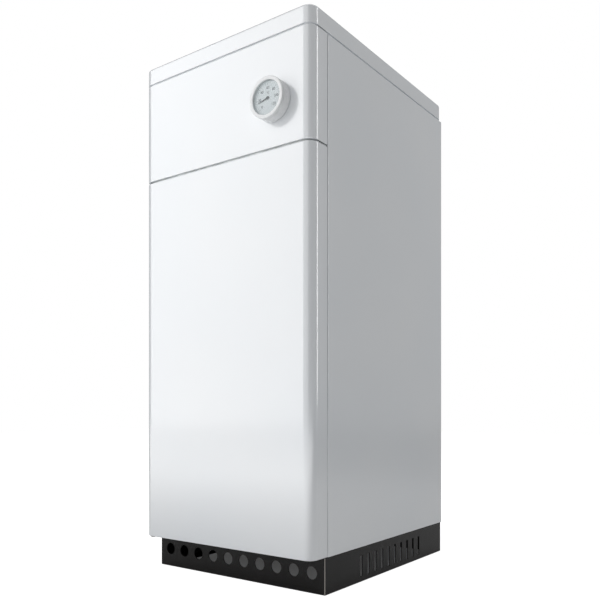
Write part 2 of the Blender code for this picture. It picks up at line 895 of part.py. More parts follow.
def make_hinge_pins():
    """Upper pin that hangs from the rail and lower pin that stands up from the plinth's tongue."""
    centre = (hinge_x, behind(hinge_from_front))
    head = hinge_pin_head_radius
    shank = hinge_pin_radius
    seat = rail_top + touch_gap
    end = door_top - hinge_pin_length
    profile = [(shank, end), (shank, seat), (head, seat), (head, seat + hinge_pin_head)]
    turned("hinge_pin_upper", centre, profile, "Z", small_round_sides, stainless_steel)
    seat = plinth_height - frame_sheet - touch_gap
    end = casing_bottom + hinge_pin_length
    profile = [(head, seat - hinge_pin_head), (head, seat), (shank, seat), (shank, end)]
    turned("hinge_pin_lower", centre, profile, "Z", small_round_sides, stainless_steel)


def make_catch():
    """Magnet on the rail's web and the steel strike that hangs from the door's top fold."""
    right = half_width - catch_from_side
    left = right - catch_width
    strike_back = front_fold_depth + hinge_swing_room
    magnet_front = behind(strike_back + touch_gap)
    top = rail_bottom - catch_height / 2
    box("door_catch", (left, magnet_front, top - catch_height),
        (right, behind(frame_front_depth - touch_gap), top), black_plastic)
    middle_x = (left + right) / 2
    level = door_top - casing_sheet - touch_gap - casing_sheet / 2
    back = behind(strike_back - casing_sheet / 2)
    line = [(back - strike_foot, level), (back, level), (back, level - strike_drop)]
    prism("door_strike", strip_outline(line, casing_sheet), middle_x - strike_width / 2,
          middle_x + strike_width / 2, "X", zinc_plate)


def flue_slot_depths():
    """Depths of the middles of the flue slots."""
    return [first_flue_depth + flue_slot_pitch * index for index in range(flue_slot_count)]


def make_heat_exchanger():
    """Welded water jacket round a fire chamber, with flue slots that run up through the water."""
    half = heater_half_width
    front = behind(control_bay_depth)
    back = behind(heater_back_depth)
    fire_top = heater_bottom + fire_chamber_height
    wall = water_wall
    jacket = water_jacket
    body = box("heat_exchanger", (-half, front, heater_bottom), (half, back, heater_top), boiler_steel)
    water = box("water space", (-half + wall, front + wall, heater_bottom + wall),
                (half - wall, back - wall, heater_top - wall))
    lining = box("fire lining", (-half + jacket - wall, front + jacket - wall, heater_bottom - overrun),
                 (half - jacket + wall, back - jacket + wall, fire_top + wall))
    fire = box("fire space", (-half + jacket, front + jacket, heater_bottom - overrun),
               (half - jacket, back - jacket, fire_top))
    slot_walls = []
    slots = []
    for depth in flue_slot_depths():
        reach = flue_slot_depth / 2
        for pairs, grow in ((slot_walls, wall), (slots, 0)):
            low = (-flue_slot_half_width - grow, behind(depth - reach - grow), fire_top - wall)
            high = (flue_slot_half_width + grow, behind(depth + reach + grow), heater_top + overrun)
            pairs.append((low, high))
    cut(water, lining, boxes("flue slot walls", slot_walls))
    cut(body, water, fire, boxes("flue slots", slots))
    ports = holes("water ports", [(water_pipe_x, supply_z), (water_pipe_x, return_z)],
                  water_pipe_radius - water_pipe_wall, back - wall, back, "Y", round_sides)
    pocket = holes("pocket port", [(pocket_x, pocket_z)], pocket_stem_radius + touch_gap, front,
                   front + wall, "Y", round_sides)
    cut(body, ports, pocket)


def make_turbulators():
    """Zigzag strips that hang in the flue slots from a folded top edge."""
    level = heater_top + touch_gap + turbulator_sheet / 2
    bottom = heater_bottom + fire_chamber_height + turbulator_bottom_gap
    wave = (level - bottom) / turbulator_wave_count
    reach = flue_slot_half_width - turbulator_side_gap
    half_wave = flue_slot_depth / 2 * turbulator_wave_share
    for index, depth in enumerate(flue_slot_depths()):
        middle = behind(depth)
        line = [(middle - flue_slot_depth / 2 - turbulator_lug, level), (middle, level)]
        for step in range(1, turbulator_wave_count):
            side = half_wave if step % 2 else -half_wave
            line.append((middle + side, level - wave * step))
        line.append((middle, bottom))
        outline = strip_outline(line, turbulator_sheet)
        prism(f"turbulator_{index + 1}", outline, -reach, reach, "X", stainless_steel)


def make_insulation():
    """Wool blanket round the water jacket, with holes for the pipes and the sensor pocket."""
    inner_half = heater_half_width + touch_gap
    outer_half = insulation_half_width
    inner_front = behind(control_bay_depth - touch_gap)
    inner_back = behind(heater_back_depth + touch_gap)
    bottom = heater_bottom + insulation_bottom_gap
    top = heater_top - insulation_top_gap
    jacket = box("insulation_jacket", (-outer_half, inner_front - insulation_thickness, bottom),
                 (outer_half, inner_back + insulation_thickness, top), foil_wool)
    room = box("insulation room", (-inner_half, inner_front, bottom - overrun),
               (inner_half, inner_back, top + overrun))
    pipes = holes("insulation pipe holes", [(water_pipe_x, supply_z), (water_pipe_x, return_z)],
                  water_pipe_radius + touch_gap, inner_back, inner_back + insulation_thickness, "Y",
                  round_sides)
    pocket = holes("insulation pocket hole", [(pocket_x, pocket_z)], pocket_radius + touch_gap,
                   inner_front - insulation_thickness, inner_front, "Y", round_sides)
    cut(jacket, room, pipes, pocket)


def make_water_pipes():
    """Supply and return stubs that run out through the rear panel."""
    start = behind(heater_back_depth + touch_gap)
    end = behind(casing_depth + water_pipe_reach)
    for name, level in (("supply_pipe", supply_z), ("return_pipe", return_z)):
        tube(name, (water_pipe_x, level), water_pipe_radius, water_pipe_wall, start, end, "Y", round_sides,
             boiler_steel)


def make_flue():
    """Hood over the flue slots with a draught relief window, its outlet collar and its cleaning cover."""
    half = heater_half_width
    front = behind(control_bay_depth)
    back = behind(heater_back_depth)
    hood = box("flue_hood", (-half, front, hood_bottom), (half, back, hood_top), zinc_plate)
    hollow = box("hood hollow", (-half + frame_sheet, front + frame_sheet, hood_bottom - overrun),
                 (half - frame_sheet, back - frame_sheet, hood_top - frame_sheet))
    relief_low = hood_bottom + relief_above_bottom
    relief = box("hood relief", (-relief_half_width, back - frame_sheet - overrun, relief_low),
                 (relief_half_width, back + overrun, relief_low + relief_height))
    centre = (0, behind(flue_depth))
    outlet = holes("hood outlet", [centre], flue_radius - flue_wall, hood_top - frame_sheet, hood_top, "Z",
                   large_round_sides)
    cover_half = cleaning_half_width
    cover_front = behind(cleaning_front_depth)
    cover_back = behind(cleaning_back_depth)
    opening = box("cleaning opening", (-cover_half, cover_front, hood_top - frame_sheet - overrun),
                  (cover_half, cover_back, hood_top + overrun))
    cut(hood, hollow, relief, outlet, opening)
    seat = hood_top + touch_gap
    sheet_top = seat + frame_sheet
    lap = cleaning_overlap
    box("cleaning_cover", (-cover_half - lap, cover_front - lap, seat),
        (cover_half + lap, cover_back + lap, sheet_top), zinc_plate)
    flange = flue_radius + flue_flange_width
    bore = flue_radius - flue_wall
    profile = [(bore, seat), (flange, seat), (flange, sheet_top), (flue_radius, sheet_top),
               (flue_radius, flue_top), (bore, flue_top)]
    turned("flue_collar", centre, profile, "Z", large_round_sides, zinc_plate, closed=True)
    sensor_z = hood_bottom + hood_height * draught_sensor_z_share
    sensor_back = front - touch_gap
    profile = [(draught_sensor_radius, sensor_back), (draught_sensor_radius, sensor_back - frame_sheet),
               (draught_sensor_radius / 2, sensor_back - frame_sheet),
               (draught_sensor_radius / 2, sensor_back - draught_sensor_height)]
    turned("draught_sensor", (pocket_x, sensor_z), profile, "Y", round_sides, brass)


def make_sensor_pocket():
    """Brass pocket in the water jacket with a bore for each of two bulbs."""
    seat = control_bay_depth - touch_gap
    profile = [(pocket_radius, behind(pocket_front_depth)), (pocket_radius, behind(seat)),
               (pocket_stem_radius, behind(seat)), (pocket_stem_radius, behind(pocket_end_depth))]
    pocket = turned("sensor_pocket", (pocket_x, pocket_z), profile, "Y", round_sides, brass)
    centres = [(pocket_x + side * pocket_bore_offset, pocket_z) for side in (-1, 1)]
    bores = rods("pocket bores", centres, pocket_bore_radius, behind(pocket_front_depth - overrun),
                 behind(pocket_front_depth + bulb_depth + touch_gap), "Y", small_round_sides)
    cut(pocket, bores)


def bulb_and_capillary(name, side, route):
    """A bulb in the pocket and the thin copper tube that leads from it along a route."""
    x = pocket_x + side * pocket_bore_offset
    bulb_end = (x, behind(pocket_front_depth + bulb_depth), pocket_z)
    bulb_start = (x, behind(pocket_front_depth), pocket_z)
    neck = (x, behind(pocket_front_depth - bulb_radius), pocket_z)
    tail = smooth_route([neck] + route)
    radii = [bulb_radius, bulb_radius] + [capillary_radius] * len(tail)
    sweep(name, [bulb_end, bulb_start] + tail, radii, lead_sides, copper)


def make_capillaries():
    """The thermometer's and the valve's temperature lines."""
    leaving = behind(pocket_front_depth - bulb_depth / 2)
    sag = behind(capillary_sag_depth)
    bore_x = pocket_x + pocket_bore_offset
    gauge_route = [(bore_x, leaving, pocket_z),
                   ((gauge_x + pocket_x) / 2, sag, (gauge_z + pocket_z) / 2),
                   (gauge_x, behind(gauge_neck_depth + bulb_depth / 2), gauge_z),
                   (gauge_x, behind(gauge_neck_depth + touch_gap), gauge_z)]
    bulb_and_capillary("gauge_capillary", 1, gauge_route)
    rise = pocket_z - valve_top
    bore_x = pocket_x - pocket_bore_offset
    low_x = valve_right / 2
    middle = behind(valve_middle_depth)
    valve_route = [(bore_x, leaving, pocket_z - bulb_depth / 2), (bore_x, sag, pocket_z - rise / 3),
                   (low_x, middle, valve_top + rise / 3), (low_x, middle, valve_top + touch_gap)]
    bulb_and_capillary("thermostat_capillary", -1, valve_route)


def make_burner_chamber():
    """Steel stand under the water jacket that houses the burner, with a window for the burner plate."""
    half = heater_half_width
    front = behind(control_bay_depth)
    back = behind(heater_back_depth)
    sheet = frame_sheet
    chamber = box("burner_chamber", (-half, front, chamber_bottom), (half, back, chamber_top), boiler_steel)
    hollow = box("chamber hollow", (-half + sheet, front + sheet, chamber_bottom - overrun),
                 (half - sheet, back - sheet, chamber_top + overrun))
    margin = chamber_window_margin + plate_screw_margin
    window = box("chamber window", (-chamber_window_half_width, front - overrun, plate_bottom + margin),
                 (chamber_window_half_width, front + sheet + overrun, plate_top - margin))
    screws = holes("chamber screw holes", plate_screw_places(), plate_screw_radius + touch_gap, front,
                   front + sheet, "Y", small_round_sides)
    cut(chamber, hollow, window, screws)


def plate_screw_places():
    return [(side * plate_screw_x, level) for side in (-1, 1) for level in plate_screw_levels]


def burner_places():
    first = -burner_pitch * (burner_count - 1) / 2
    return [first + burner_pitch * index for index in range(burner_count)]


def lead_places():
    """X of the thermocouple's, the pilot pipe's and the electrode's way through the burner plate."""
    return [pilot_x + lead_pitch * step for step in (-1, 0, 1)]


def make_burner_plate():
    """Plate that closes the burner chamber and carries the burner tubes, sight glass and pilot."""
    front = behind(plate_front_depth)
    back = behind(plate_back_depth)
    plate = box("burner_plate", (-plate_half_width, front, plate_bottom), (plate_half_width, back, plate_top),
                zinc_plate)
    mouths = holes("mouth holes", [(x, burner_z) for x in burner_places()], burner_mouth_radius + touch_gap,
                   front, back, "Y", burner_sides)
    sight = holes("sight hole", [(sight_x, sight_z)], sight_hole_radius, front, back, "Y", round_sides)
    seat = rods("sight glass seat", [(sight_x, sight_z)], sight_glass_radius + touch_gap, front - overrun,
                front + sight_glass_thickness + touch_gap * 2, "Y", round_sides)
    shutter_hole = holes("shutter pin hole", [(sight_x, shutter_z)], shutter_pin_radius + running_gap,
                         front, back, "Y", small_round_sides)
    lead_z = burner_z + lead_hole_above_axis
    leads = holes("lead holes", [(x, lead_z) for x in lead_places()], lead_hole_radius, front, back, "Y",
                  small_round_sides)
    screws = holes("plate screw holes", plate_screw_places(), plate_screw_radius + touch_gap, front, back,
                   "Y", small_round_sides)
    cut(plate, mouths, sight, seat, shutter_hole, leads, screws)


def make_plate_screws():
    head_back = plate_front_depth - touch_gap
    end = control_bay_depth + frame_sheet + plate_screw_grip
    for index, centre in enumerate(plate_screw_places()):
        profile = [(plate_screw_head_radius, behind(head_back - plate_screw_head)),
                   (plate_screw_head_radius, behind(head_back)), (plate_screw_radius, behind(head_back)),
                   (plate_screw_radius, behind(end))]
        turned(f"burner_plate_screw_{index + 1}", centre, profile, "Y", small_round_sides, zinc_plate)


def burner_ring(x, depth, half_wide, half_high):
    y = behind(depth)
    turns = [2 * math.pi * side / burner_sides for side in range(burner_sides)]
    return [(x + half_wide * math.cos(turn), y, burner_z + half_high * math.sin(turn)) for turn in turns]


def make_burner_tubes():
    """Atmospheric burner tubes: a round mouth, a narrow throat and an upright oval body slotted on top."""
    length = burner_rear_depth - burner_front_depth
    round_mouth = (burner_mouth_radius, burner_mouth_radius)
    throat = (burner_throat_radius, burner_throat_radius)
    body = (burner_half_width, burner_half_height)
    sections = [(0, round_mouth), (length * burner_mouth_share, round_mouth),
                (length * burner_throat_share, throat), (length * burner_body_share, body), (length, body)]
    for index, x in enumerate(burner_places()):
        outer = [burner_ring(x, burner_front_depth + along, *size) for along, size in sections]
        inner_sections = sections[:-1] + [(length - burner_wall, body)]
        inner = [burner_ring(x, burner_front_depth + along, size[0] - burner_wall, size[1] - burner_wall)
                 for along, size in inner_sections]
        pipe = loft(f"burner_tube_{index + 1}", inner[::-1] + outer, stainless_steel, smooth=True)
        body_start = burner_front_depth + length * burner_body_share
        slot_pitch = (burner_rear_depth - body_start) / (burner_slot_count + 1)
        slots = []
        for step in range(burner_slot_count):
            middle = behind(body_start + slot_pitch * (step + 1))
            half = burner_slot_width / 2
            low = (x - burner_slot_half_length, middle - half, burner_z + burner_half_height / 2)
            high = (x + burner_slot_half_length, middle + half, burner_z + burner_half_height + overrun)
            slots.append((low, high))
        cut(pipe, boxes(f"burner slots {index + 1}", slots))


def make_manifold():
    """Square gas bar with an inlet on top, an outlet for each injector and a welded foot at each end."""
    half = manifold_size / 2
    front = behind(manifold_axis_depth - half)
    back = behind(manifold_back_depth)
    bar = box("gas_manifold", (-manifold_half_length, front, burner_z - half),
              (manifold_half_length, back, burner_z + half), boiler_steel)
    for name, side in (("left foot", -1), ("right foot", 1)):
        middle = side * (manifold_half_length - manifold_tab_thickness / 2)
        foot_depth = behind(plate_front_depth - touch_gap - manifold_tab_thickness / 2)
        line = [(middle, behind(manifold_axis_depth)), (middle, foot_depth),
                (middle + side * manifold_tab_foot, foot_depth)]
        foot = prism(name, strip_outline(line, manifold_tab_thickness), burner_z - manifold_tab_height / 2,
                     burner_z + manifold_tab_height / 2, "Z")
        add(bar, foot)
    wall = manifold_wall
    hollow = box("manifold hollow", (-manifold_half_length + wall, front + wall, burner_z - half + wall),
                 (manifold_half_length - wall, back - wall, burner_z + half - wall))
    inlet_radius = outlet_pipe_radius - outlet_pipe_wall
    inlet = rods("manifold inlet", [(outlet_x, behind(manifold_axis_depth))], inlet_radius, burner_z,
                 manifold_top + overrun, "Z", small_round_sides)
    outlets = holes("manifold outlets", [(x, burner_z) for x in burner_places()],
                    injector_stem_radius + touch_gap, back - wall, back, "Y", small_round_sides)
    cut(bar, hollow, inlet, outlets)


def make_injectors():
    """Brass jets that point from the manifold into the burner mouths."""
    start = manifold_back_depth + touch_gap
    stem_start = manifold_back_depth - manifold_wall
    for index, x in enumerate(burner_places()):
        profile = [(injector_bore_radius, behind(stem_start)), (injector_stem_radius, behind(stem_start)),
                   (injector_stem_radius, behind(start)), (injector_radius, behind(start)),
                   (injector_radius, behind(start + injector_body)),
                   (injector_nose_radius, behind(start + injector_body)),
                   (injector_nose_radius, behind(start + injector_body + injector_nose)),
                   (injector_bore_radius, behind(start + injector_body + injector_nose))]
        turned(f"injector_{index + 1}", (x, burner_z), profile, "Y", small_round_sides, brass, closed=True)


def make_valve_bracket():
    """Folded plate that stands on the burner plate and carries the valve and the piezo igniter."""
    middle = bracket_sheet / 2
    face = behind(bracket_face_depth + middle)
    rear = behind(plate_front_depth - touch_gap - middle)
    level = plate_top + bracket_tab_above_plate
    line = [(face, valve_top + bracket_top_reach), (face, level), (rear, level),
            (rear, bracket_tab_bottom)]
    bracket = prism("valve_bracket", strip_outline(line, bracket_sheet), -valve_left - bracket_left_margin,
                    piezo_x + bracket_right_margin, "X", zinc_plate)
    hole = holes("piezo hole", [(piezo_x, piezo_z)], piezo_neck_radius + touch_gap,
                 behind(bracket_face_depth), behind(bracket_face_depth + bracket_sheet), "Y", round_sides)
    cut(bracket, hole)


def make_gas_valve():
    """Cast control block with bosses for the gas inlet, the outlet and the knob."""
    block = box("gas_valve", (-valve_left, behind(valve_front_depth), valve_bottom),
                (valve_right, behind(valve_back_depth), valve_top), cast_aluminium)
    round_edges(block, valve_edge)
    inlet_centre = (behind(valve_middle_depth), valve_middle_z)
    inlet_face = -valve_left - valve_boss_reach
    inlet = rods("inlet boss", [inlet_centre], valve_boss_radius, inlet_face, -valve_left + overrun, "X",
                 round_sides)
    outlet_centre = (outlet_x, behind(manifold_axis_depth))
    outlet_face = valve_bottom - valve_boss_reach
    outlet = rods("outlet boss", [outlet_centre], valve_boss_radius, outlet_face, valve_bottom + overrun, "Z",
                  round_sides)
    face_centre = (valve_middle_x, valve_middle_z)
    face = rods("face boss", [face_centre], valve_face_boss_radius, behind(valve_face_depth),
                behind(valve_front_depth + overrun), "Y", round_sides)
    add(block, inlet, outlet, face)
    bore_end = behind(valve_face_depth + spindle_bore_depth)
    spindle_bore = rods("spindle bore", [face_centre], spindle_radius + running_gap,
                        behind(valve_face_depth - overrun), bore_end, "Y", small_round_sides)
    inlet_bore = rods("inlet bore", [inlet_centre], gas_pipe_radius + touch_gap, inlet_face - overrun,
                      inlet_face + valve_pipe_bore_depth, "X", round_sides)
    outlet_bore = rods("outlet bore", [outlet_centre], outlet_pipe_radius + touch_gap, outlet_face - overrun,
                       outlet_face + valve_pipe_bore_depth, "Z", round_sides)
    cut(block, spindle_bore, inlet_bore, outlet_bore)


def make_knob():
    """Knob with a grip bar and the spindle that it turns on, which is pressed in to light the pilot."""
    centre = (valve_middle_x, valve_middle_z)
    spindle_front = knob_back_depth - knob_seat_depth + running_gap
    spindle_back = valve_face_depth + spindle_bore_depth - knob_push - running_gap * 2
    profile = [(spindle_radius, behind(spindle_front)), (spindle_radius, behind(spindle_back))]
    spindle = turned("knob_spindle", centre, profile, "Y", small_round_sides, stainless_steel)
    pivot = (centre[0], behind(knob_back_depth), centre[1])
    pivot_at(spindle, pivot)
    disc_front = knob_from_front + knob_grip_height
    profile = [(knob_radius - knob_edge, behind(disc_front)), (knob_radius, behind(disc_front + knob_edge)),
               (knob_radius, behind(knob_back_depth))]
    knob = turned("control_knob", centre, profile, "Y", round_sides, black_plastic)
    grip_reach = knob_radius - knob_grip_margin
    grip_half = knob_grip_half_width
    grip = box("knob grip", (centre[0] - grip_half, behind(knob_from_front), centre[1] - grip_reach),
               (centre[0] + grip_half, behind(disc_front + knob_edge), centre[1] + grip_reach))
    round_edges(grip, knob_edge)
    add(knob, grip)
    seat = rods("knob seat", [centre], spindle_radius + running_gap,
                behind(knob_back_depth - knob_seat_depth), behind(knob_back_depth + overrun), "Y",
                small_round_sides)
    cut(knob, seat)
    pivot_at(knob, pivot)


def make_gas_pipes():
    """Inlet pipe from the rear panel round to the valve, and the short pipe down to the manifold."""
    rear = behind(casing_depth + gas_pipe_reach)
    inlet_end = -valve_left - valve_boss_reach + valve_pipe_bore_depth - touch_gap
    level = valve_middle_z
    route = bent_route([(gas_pipe_x, rear, level), (gas_pipe_x, behind(valve_middle_depth), level),
                        (inlet_end, behind(valve_middle_depth), level)], gas_pipe_bend)
    sweep("gas_inlet_pipe", route, [gas_pipe_radius] * len(route), round_sides, brass, wall=gas_pipe_wall)
    top = valve_bottom - valve_boss_reach + valve_pipe_bore_depth - touch_gap
    tube("valve_outlet_pipe", (outlet_x, behind(manifold_axis_depth)), outlet_pipe_radius, outlet_pipe_wall,
         manifold_top + touch_gap, top, "Z", round_sides, brass)


def make_piezo():
    """Igniter held in the bracket, with its push button in front."""
    centre = (piezo_x, piezo_z)
    profile = [(piezo_radius, behind(piezo_front_depth)), (piezo_radius, behind(piezo_back_depth)),
               (piezo_neck_radius, behind(piezo_back_depth)),
               (piezo_neck_radius, behind(piezo_back_depth + piezo_neck_length))]
    igniter = turned("piezo_igniter", centre, profile, "Y", round_sides, black_plastic)
    button_back = piezo_front_depth - piezo_button_proud + piezo_button_length
    bore = rods("button bore", [centre], piezo_button_radius + running_gap,
                behind(piezo_front_depth - overrun), behind(button_back + piezo_push + running_gap), "Y",
                round_sides)
    cut(igniter, bore)
    front = behind(piezo_front_depth - piezo_button_proud)
    radius = piezo_button_radius
    profile = [(radius - knob_edge, front), (radius, front + knob_edge), (radius, behind(button_back))]
    button = turned("piezo_button", centre, profile, "Y", round_sides, black_plastic)
    pivot_at(button, (centre[0], front, centre[1]))


def lead_route(x, start_level, end):
    """Way of a lead: down behind the burner plate, out through it, up, and over the manifold to its end."""
    tip_depth = behind(control_bay_depth + pilot_head_depth)
    low = burner_z + lead_hole_above_axis
    crossing = burner_z + crossing_above_axis
    riser = behind(riser_depth)
    corners = [(x, tip_depth, start_level), (x, tip_depth, low), (x, riser, low), (x, riser, crossing),
               (end[0], end[1], crossing), end]
    return bent_route(corners, lead_bend)


def make_lead(name, x, tip_level, tip_radius, lead_radius, end, finish_of):
    """A probe that stands in the pilot's shelf, and the lead that runs on from its foot."""
    foot = burner_z + pilot_above_axis - pilot_sheet
    tip_depth = behind(control_bay_depth + pilot_head_depth)
    probe = [(x, tip_depth, tip_level), (x, tip_depth, foot)]
    lead = lead_route(x, foot - tip_radius, end)
    radii = [tip_radius] * len(probe) + [lead_radius] * len(lead)
    sweep(name, probe + lead, radii, lead_sides, finish_of)


def make_pilot():
    """Pilot burner on its folded foot, with its gas pipe, the thermocouple and the ignition electrode."""
    front = behind(control_bay_depth)
    low_x = pilot_x - pilot_side_reach
    high_x = pilot_x + pilot_side_reach
    shelf = burner_z + pilot_above_axis
    line = [(front + pilot_sheet / 2, shelf + pilot_base_height), (front + pilot_sheet / 2, shelf),
            (front + pilot_shelf_reach, shelf)]
    pilot = prism("pilot_burner", strip_outline(line, pilot_sheet), low_x, high_x, "X", stainless_steel)
    tip_depth = behind(control_bay_depth + pilot_head_depth)
    head = rods("pilot head", [(pilot_x, tip_depth)], pilot_head_radius, shelf, shelf + pilot_head_height,
                "Z", small_round_sides)
    add(pilot, head)
    thermocouple_x, pipe_x, electrode_x = lead_places()
    leads = holes("pilot lead holes", [(electrode_x, tip_depth), (thermocouple_x, tip_depth)],
                  electrode_tip_radius + touch_gap, shelf, shelf, "Z", small_round_sides)
    cut(pilot, leads)
    tip = shelf + tip_above_shelf
    valve_under = valve_bottom - touch_gap
    end_x = valve_right - lead_end_spacing
    end_y = behind(lead_end_depth)
    make_lead("thermocouple", thermocouple_x, tip, thermocouple_tip_radius, thermocouple_lead_radius,
              (end_x - lead_end_spacing, end_y, valve_under), copper)
    piezo_middle = behind((piezo_front_depth + piezo_back_depth) / 2)
    make_lead("ignition_electrode", electrode_x, tip, electrode_tip_radius, electrode_lead_radius,
              (piezo_x, piezo_middle, piezo_z - piezo_radius - touch_gap), white_plastic)
    route = lead_route(pipe_x, shelf - pilot_sheet / 2 - touch_gap, (end_x, end_y, valve_under))
    sweep("pilot_pipe", route, [pilot_pipe_radius] * len(route), lead_sides, copper)


def make_sight():
    """Sight glass in the burner plate and the shutter that swings aside from it."""
    centre = (sight_x, sight_z)
    glass_back = plate_front_depth + sight_glass_thickness + touch_gap
    glass_front = glass_back - sight_glass_thickness
    prism("sight_glass", circle(centre, sight_glass_radius, round_sides), behind(glass_front),
          behind(glass_back), "Y", clear_glass, smooth=True)
    back = behind(plate_front_depth - touch_gap)
    front = back - shutter_sheet
    disc = circle(centre, shutter_radius, round_sides)
    shutter = prism("sight_shutter", disc, front, back, "Y", stainless_steel)
    half = shutter_arm_half_width
    arm = box("shutter arm", (sight_x - half, front, sight_z), (sight_x + half, back, shutter_z + half))
    pin = prism("shutter pin", circle((sight_x, shutter_z), shutter_pin_radius, small_round_sides),
                (front + back) / 2, behind(plate_back_depth), "Y")
    add(shutter, arm, pin)
    pivot_at(shutter, (sight_x, back, shutter_z))


def make_gauge():
    """Dial thermometer: case, bezel, dial, glass and the needle that turns in front of the dial."""
    centre = (gauge_x, gauge_z)
    floor = gauge_dial_depth + gauge_dial_thickness + touch_gap
    case_front = -gauge_reach + gauge_bezel_depth + touch_gap
    seat = -touch_gap
    inner = gauge_dial_radius + touch_gap
    profile = [(inner, behind(floor)), (inner, behind(case_front)), (gauge_radius, behind(case_front)),
               (gauge_radius, behind(seat)), (gauge_neck_radius, behind(seat)),
               (gauge_neck_radius, behind(gauge_neck_depth))]
    case = turned("gauge_case", centre, profile, "Y", large_round_sides, white_plastic)
    inside = rods("case inside", [centre], gauge_neck_radius - gauge_wall, behind(floor + gauge_wall),
                  behind(gauge_neck_depth - gauge_wall), "Y", round_sides)
    middle_hole = rods("needle hole", [centre], gauge_spindle_radius + running_gap, behind(case_front),
                       behind(floor + gauge_wall + overrun), "Y", small_round_sides)
    tail_hole = holes("capillary hole", [centre], gauge_bulb_hole_radius,
                      behind(gauge_neck_depth - gauge_wall), behind(gauge_neck_depth), "Y", small_round_sides)
    cut(case, inside, middle_hole, tail_hole)
    glass_front = -gauge_reach + gauge_glass_recess
    glass_back = glass_front + gauge_glass_thickness
    lip = gauge_glass_recess - touch_gap
    mouth = gauge_dial_radius - gauge_wall / 2
    bezel_back = case_front - touch_gap
    profile = [(gauge_radius, behind(bezel_back)), (gauge_radius, behind(-gauge_reach)),
               (mouth, behind(-gauge_reach)), (mouth, behind(-gauge_reach + lip)),
               (inner, behind(-gauge_reach + lip)), (inner, behind(bezel_back))]
    turned("gauge_bezel", centre, profile, "Y", large_round_sides, white_plastic, closed=True)
    profile = [(gauge_dial_radius, behind(glass_front)), (gauge_dial_radius, behind(glass_back))]
    turned("gauge_glass", centre, profile, "Y", large_round_sides, clear_glass)
    dial_width = gauge_dial_radius - gauge_spindle_radius - running_gap
    dial_front = behind(gauge_dial_depth)
    tube("gauge_dial", centre, gauge_dial_radius, dial_width, dial_front, dial_front + gauge_dial_thickness,
         "Y", large_round_sides, white_plastic)
    make_needle(centre)


def make_needle(centre):
    """Tapered needle with a short tail, a hub and the spindle that runs in the case."""
    back = behind(gauge_needle_depth)
    front = back - gauge_needle_thickness
    turn = math.radians(gauge_rest_degrees)
    along = Vector((math.cos(turn), math.sin(turn)))
    across = Vector((-along.y, along.x)) * gauge_needle_half_width
    middle = Vector(centre)
    tail = middle - along * gauge_needle_tail
    outline = [middle + along * gauge_needle_length, middle + across, tail + across, tail - across,
               middle - across]
    needle = prism("gauge_needle", outline, front, back, "Y", black_plastic)
    hub = rods("needle hub", [centre], gauge_hub_radius, front - gauge_needle_thickness / 2, back, "Y",
               small_round_sides)
    spindle = rods("needle spindle", [centre], gauge_spindle_radius, front + gauge_needle_thickness / 2,
                   back + gauge_spindle_length, "Y", small_round_sides)
    add(needle, hub, spindle)
    pivot_at(needle, (centre[0], back, centre[1]))


def build():
    for thing in list(bpy.data.objects):
        bpy.data.objects.remove(thing, do_unlink=True)
    make_plinth()
    make_base_tray()
    make_side_panel("side_panel_left", -1)
    make_side_panel("side_panel_right", 1)
    make_back_panel()
    make_top_lid()
    make_control_panel()
    make_door()
    make_front_rail()
    make_hinge_pins()
    make_catch()
    make_heat_exchanger()
    make_turbulators()
    make_insulation()
    make_water_pipes()
    make_flue()
    make_sensor_pocket()
    make_capillaries()
    make_burner_chamber()
    make_burner_plate()
    make_plate_screws()
    make_burner_tubes()
    make_manifold()
    make_injectors()
    make_valve_bracket()
    make_gas_valve()
    make_knob()
    make_gas_pipes()
    make_piezo()
    make_pilot()
    make_sight()
    make_gauge()


build()
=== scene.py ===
"""Looks of a floor standing gas boiler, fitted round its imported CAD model.

Metres and degrees, +Z up, and the front of the boiler faces -Y. Places are read from the boxes of the
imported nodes, so each piece made here sits where the CAD says. Sizes that a box can't give are named below.
A name that ends in share is a part of a whole length or width.
"""

import json
import math

import bmesh
import bpy
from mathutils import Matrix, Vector, noise


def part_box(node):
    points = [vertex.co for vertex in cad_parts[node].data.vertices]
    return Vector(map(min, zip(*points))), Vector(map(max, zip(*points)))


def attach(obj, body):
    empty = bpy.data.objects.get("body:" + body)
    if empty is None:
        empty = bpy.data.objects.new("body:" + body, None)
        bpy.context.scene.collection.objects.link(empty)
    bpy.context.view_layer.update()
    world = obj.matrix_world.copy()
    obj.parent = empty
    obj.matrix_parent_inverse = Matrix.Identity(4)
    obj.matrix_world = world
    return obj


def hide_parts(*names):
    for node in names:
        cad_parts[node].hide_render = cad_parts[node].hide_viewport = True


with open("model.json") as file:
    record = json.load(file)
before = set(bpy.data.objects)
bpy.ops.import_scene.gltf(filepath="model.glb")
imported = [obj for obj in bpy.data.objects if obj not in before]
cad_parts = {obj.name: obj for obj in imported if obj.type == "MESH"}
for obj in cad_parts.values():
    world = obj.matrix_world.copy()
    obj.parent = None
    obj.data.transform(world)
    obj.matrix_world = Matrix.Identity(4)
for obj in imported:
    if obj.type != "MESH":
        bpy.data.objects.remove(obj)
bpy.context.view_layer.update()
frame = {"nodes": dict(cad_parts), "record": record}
nodes = frame["nodes"]

# Sheet metal
casing_sheet = 0.0012
frame_sheet = 0.0015
fold_radius = 0.0016
cut_edge = 0.0003
overrun = 0.004
clearance = 0.0003

# Facets and smooth shading
corner_steps = 24
fold_steps = 5
fine_sides = 96
round_sides = 48
small_sides = 24
block_edge_steps = 4
hexagon_sides = 6
weld_distance = 1e-7
soft_edge_steps = 2
soft_edge_degrees = 35
smooth_degrees = 30
casting_smooth_degrees = 25
moulding_smooth_degrees = 40
fine_smooth_degrees = 50

# Casing
front_corner_radius = 0.016
front_fold_depth = 0.0178
hinge_from_side = 0.009
hinge_from_front = 0.011
hinge_pin_hole_radius = 0.0023
hinge_head_hole_radius = 0.0041

